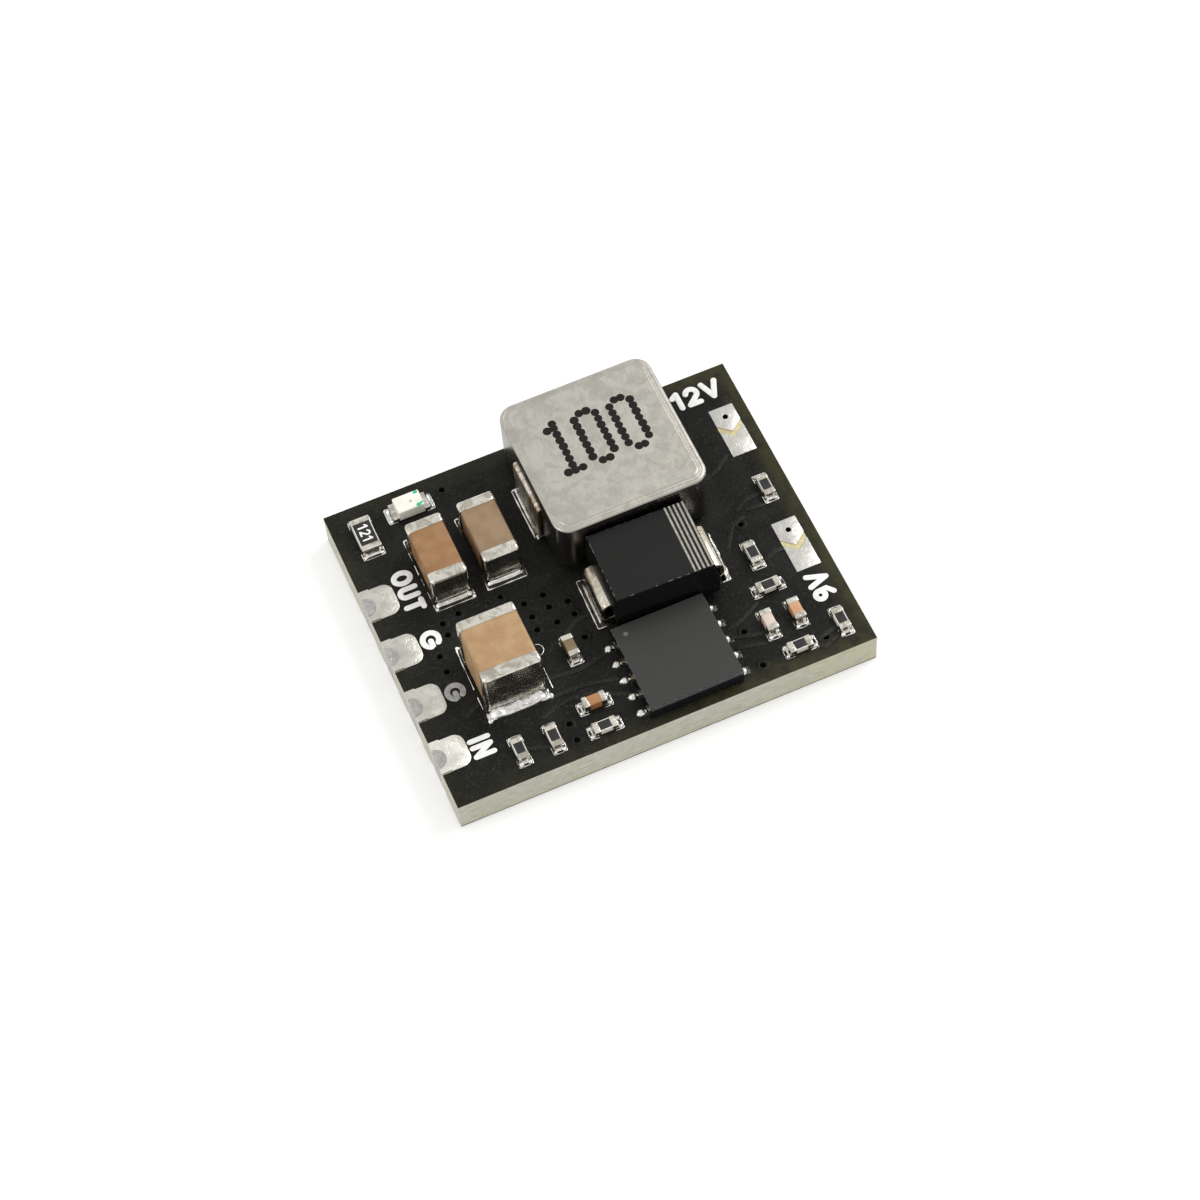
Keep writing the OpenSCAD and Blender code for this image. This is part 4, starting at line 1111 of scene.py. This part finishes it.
def glyph(letter, w, h, t):  # centre lines of a letter's strokes in a cell w wide and h high; True closes one
    e, radius = t / 2, w / 2 - t / 2
    v = Vector
    if letter == "O":
        return [(arc(w / 2, h / 2, radius, h / 2 - e, 0, 345, 23), True)]
    if letter == "U":
        return [([v((e, h - e))] + arc(w / 2, w / 2, radius, radius, 180, 360) + [v((w - e, h - e))], False)]
    if letter == "T":
        return [([v((e, h - e)), v((w - e, h - e))], False), ([v((w / 2, h - e)), v((w / 2, e))], False)]
    if letter == "G":
        curve = arc(w / 2, h / 2, radius, h / 2 - e, 48, 345, 24)
        return [(curve, False), ([curve[-1], v((w - e, h * 0.48)), v((w * 0.56, h * 0.48))], False)]
    if letter == "I":
        return [([v((e, h - e)), v((e, e))], False)]
    if letter == "N":
        return [([v((e, e)), v((e, h - e))], False), ([v((e, h - e)), v((w - e, e))], False),
                ([v((w - e, e)), v((w - e, h - e))], False)]
    if letter == "1":
        return [([v((w * 0.1, h * 0.72)), v((w * 0.6, h - e))], False),
                ([v((w * 0.6, h - e)), v((w * 0.6, e))], False)]
    if letter == "2":
        curve = arc(w / 2, h - e - radius, radius, radius, 165, -38, 14)
        return [(curve + [v((e, e))], False), ([v((e, e)), v((w - e, e))], False)]
    if letter == "V":
        return [([v((e, h - e)), v((w / 2, e))], False), ([v((w / 2, e)), v((w - e, h - e))], False)]
    return [(arc(w / 2, h - e - radius, radius, radius, 0, 345, 23), True),  # what is left is a 9
            ([v((w - e, h - e - radius)), v((w * 0.86, h * 0.34)), v((w * 0.45, e))], False)]


labels = (  # words, place from the front left corner, height, turn, widths of the letters, gap and stroke
    ("OUT", 1.41, 11.0, 0.92, -90, (0.74, 0.62, 0.60), 0.06, 0.235),
    ("G", 1.41, 7.90, 0.90, -90, (0.90,), 0, 0.24),
    ("G", 1.41, 5.25, 0.87, -90, (0.86,), 0, 0.235),
    ("IN", 1.39, 2.58, 0.98, -90, (0.22, 0.64), 0.09, 0.22),
    ("12V", 15.28, 13.22, 0.99, 0, (0.46, 0.72, 0.84), 0.06, 0.245),
    ("9V", 17.51, 2.40, 1.0, 90, (0.62, 0.74), 0.05, 0.235),
)
printValues = dict(rise=0.012, sink=0.004, edge=0.008, layer=0.0012, greyedLabel=2, codeRise=0.004,
                   codeEdge=0.002)


def lettering(words, height, widths, gap, stroke, rise, edge):
    shape, along, layer = Shape(), 0.0, 0
    for letter, width in zip(words, widths):
        for path, closedLoop in glyph(letter, width, height, stroke):
            top = rise + printValues["layer"] * (layer % 3)  # crossing strokes don't share a level
            layer += 1
            moved = [p + Vector((along, 0)) for p in path]
            outline = shrink(moved, -stroke / 2) if closedLoop else ribbon(moved, stroke / 2)
            inner = shrink(moved, stroke / 2) if closedLoop else None
            shape.plate(outline, -printValues["sink"], top, edge, inner)
        along += width + gap
    return shape


def makePrint():
    v, shape = printValues, Shape()
    for i, (words, x, y, height, turn, widths, gap, stroke) in enumerate(labels):
        word = lettering(words, height, widths, gap, stroke, v["rise"], v["edge"])
        letters = Shape().add(word, onBoard(x, y, 0, turn))
        # one label is printed in the grey print instead of the white
        if i == v["greyedLabel"]:
            letters.piece("greyedPrint", "greyedInk", "solder_mask")
        else:
            shape.add(letters)
    shape.piece("boardPrint", "ink", "solder_mask")
    coatTop = spot("lamp_resistor_ends")[1].z - coatValues["top"] - maskTop
    code = lettering("121", 0.46, (0.20, 0.27, 0.20), 0.07, 0.075, v["codeRise"], v["codeEdge"])
    place = onBoard(1.03, 13.43, coatTop - 0.001, -90)
    Shape().add(code, place).piece("resistorCode", "ink", "resistor_coat")


makePrint()
print("board print made")


stageValues = dict(floor=2.0, floorLevel=-0.00002, floorTone=(0.70, 0.70, 0.69), lift=0.32, worldLevel=0.85)


def makeFloor():
    size, level = stageValues["floor"], stageValues["floorLevel"]
    corners = [(-size, -size, level), (size, -size, level), (size, size, level), (-size, size, level)]
    mesh = bpy.data.meshes.new("floor")
    mesh.from_pydata(corners, [], [(0, 1, 2, 3)])
    floor = bpy.data.objects.new("floor", mesh)
    bpy.context.scene.collection.objects.link(floor)
    look = Look("floor")
    rays = ("Is Camera Ray", "Is Glossy Ray", "Is Transmission Ray")
    camera, glossy, clear = (look.node("ShaderNodeLightPath", {}, {}, ray) for ray in rays)
    look.finish(stageValues["floorTone"], 0.9, Specular_IOR_Level=0.0)
    look.feed(look.shader.inputs["Emission Color"],
              look.blend((camera + glossy + clear).least(1.0), (0, 0, 0), (stageValues["lift"],) * 3))
    look.shader.inputs["Emission Strength"].default_value = 1.0
    mesh.materials.append(look.material)


lampSettings = dict(  # place in metres, size and power; both face the origin
    keyLamp=((0.195, 0.05, 0.20), 0.16, 0.35),
    fillLamp=((-0.20, -0.02, 0.14), 0.14, 0.12),
)


def makeLamp(name, place, size, power):
    lamp = bpy.data.lights.new(name, "AREA")
    lamp.shape, lamp.size, lamp.size_y, lamp.energy = "RECTANGLE", size, size, power
    made = bpy.data.objects.new(name, lamp)
    bpy.context.scene.collection.objects.link(made)
    made.location = place
    made.rotation_mode = "QUATERNION"
    made.rotation_quaternion = (-Vector(place)).to_track_quat("-Z", "Y")


def makeWorld():
    world = bpy.data.worlds.new("studio")
    world.use_nodes = True
    background = world.node_tree.nodes["Background"].inputs
    background["Color"].default_value = (1, 1, 1, 1)
    background["Strength"].default_value = stageValues["worldLevel"]
    bpy.context.scene.world = world


cameraValues = dict(target=(-0.27, -1.08, 1.6), distance=126.8, azimuth=18.54, elevation=58.81, roll=5.75,
                    lens=94.76, sensor=36.0, near=0.005, far=10.0)  # near and far are in metres


def makeCamera():
    v = cameraValues
    azimuth, elevation, roll = (math.radians(v[k]) for k in ("azimuth", "elevation", "roll"))
    level = Vector((math.cos(azimuth), -math.sin(azimuth), 0))
    ahead = Vector((math.sin(azimuth) * math.cos(elevation), math.cos(azimuth) * math.cos(elevation),
                    -math.sin(elevation)))
    above = level.cross(ahead)
    right = level * math.cos(roll) - above * math.sin(roll)
    top = above * math.cos(roll) + level * math.sin(roll)
    lens = bpy.data.cameras.new("camera")
    lens.lens, lens.sensor_width, lens.clip_start, lens.clip_end = v["lens"], v["sensor"], v["near"], v["far"]
    camera = bpy.data.objects.new("camera", lens)
    bpy.context.scene.collection.objects.link(camera)
    place = (Vector(v["target"]) - ahead * v["distance"]) * mm
    camera.matrix_world = Matrix.Translation(place) @ Matrix((right, top, -ahead)).transposed().to_4x4()
    bpy.context.scene.camera = camera


makeFloor()
makeWorld()
for lampName, (lampSpot, lampSize, lampPower) in lampSettings.items():
    makeLamp(lampName, lampSpot, lampSize, lampPower)
makeCamera()
bpy.context.scene.view_settings.view_transform = "Standard"
print("stage set")
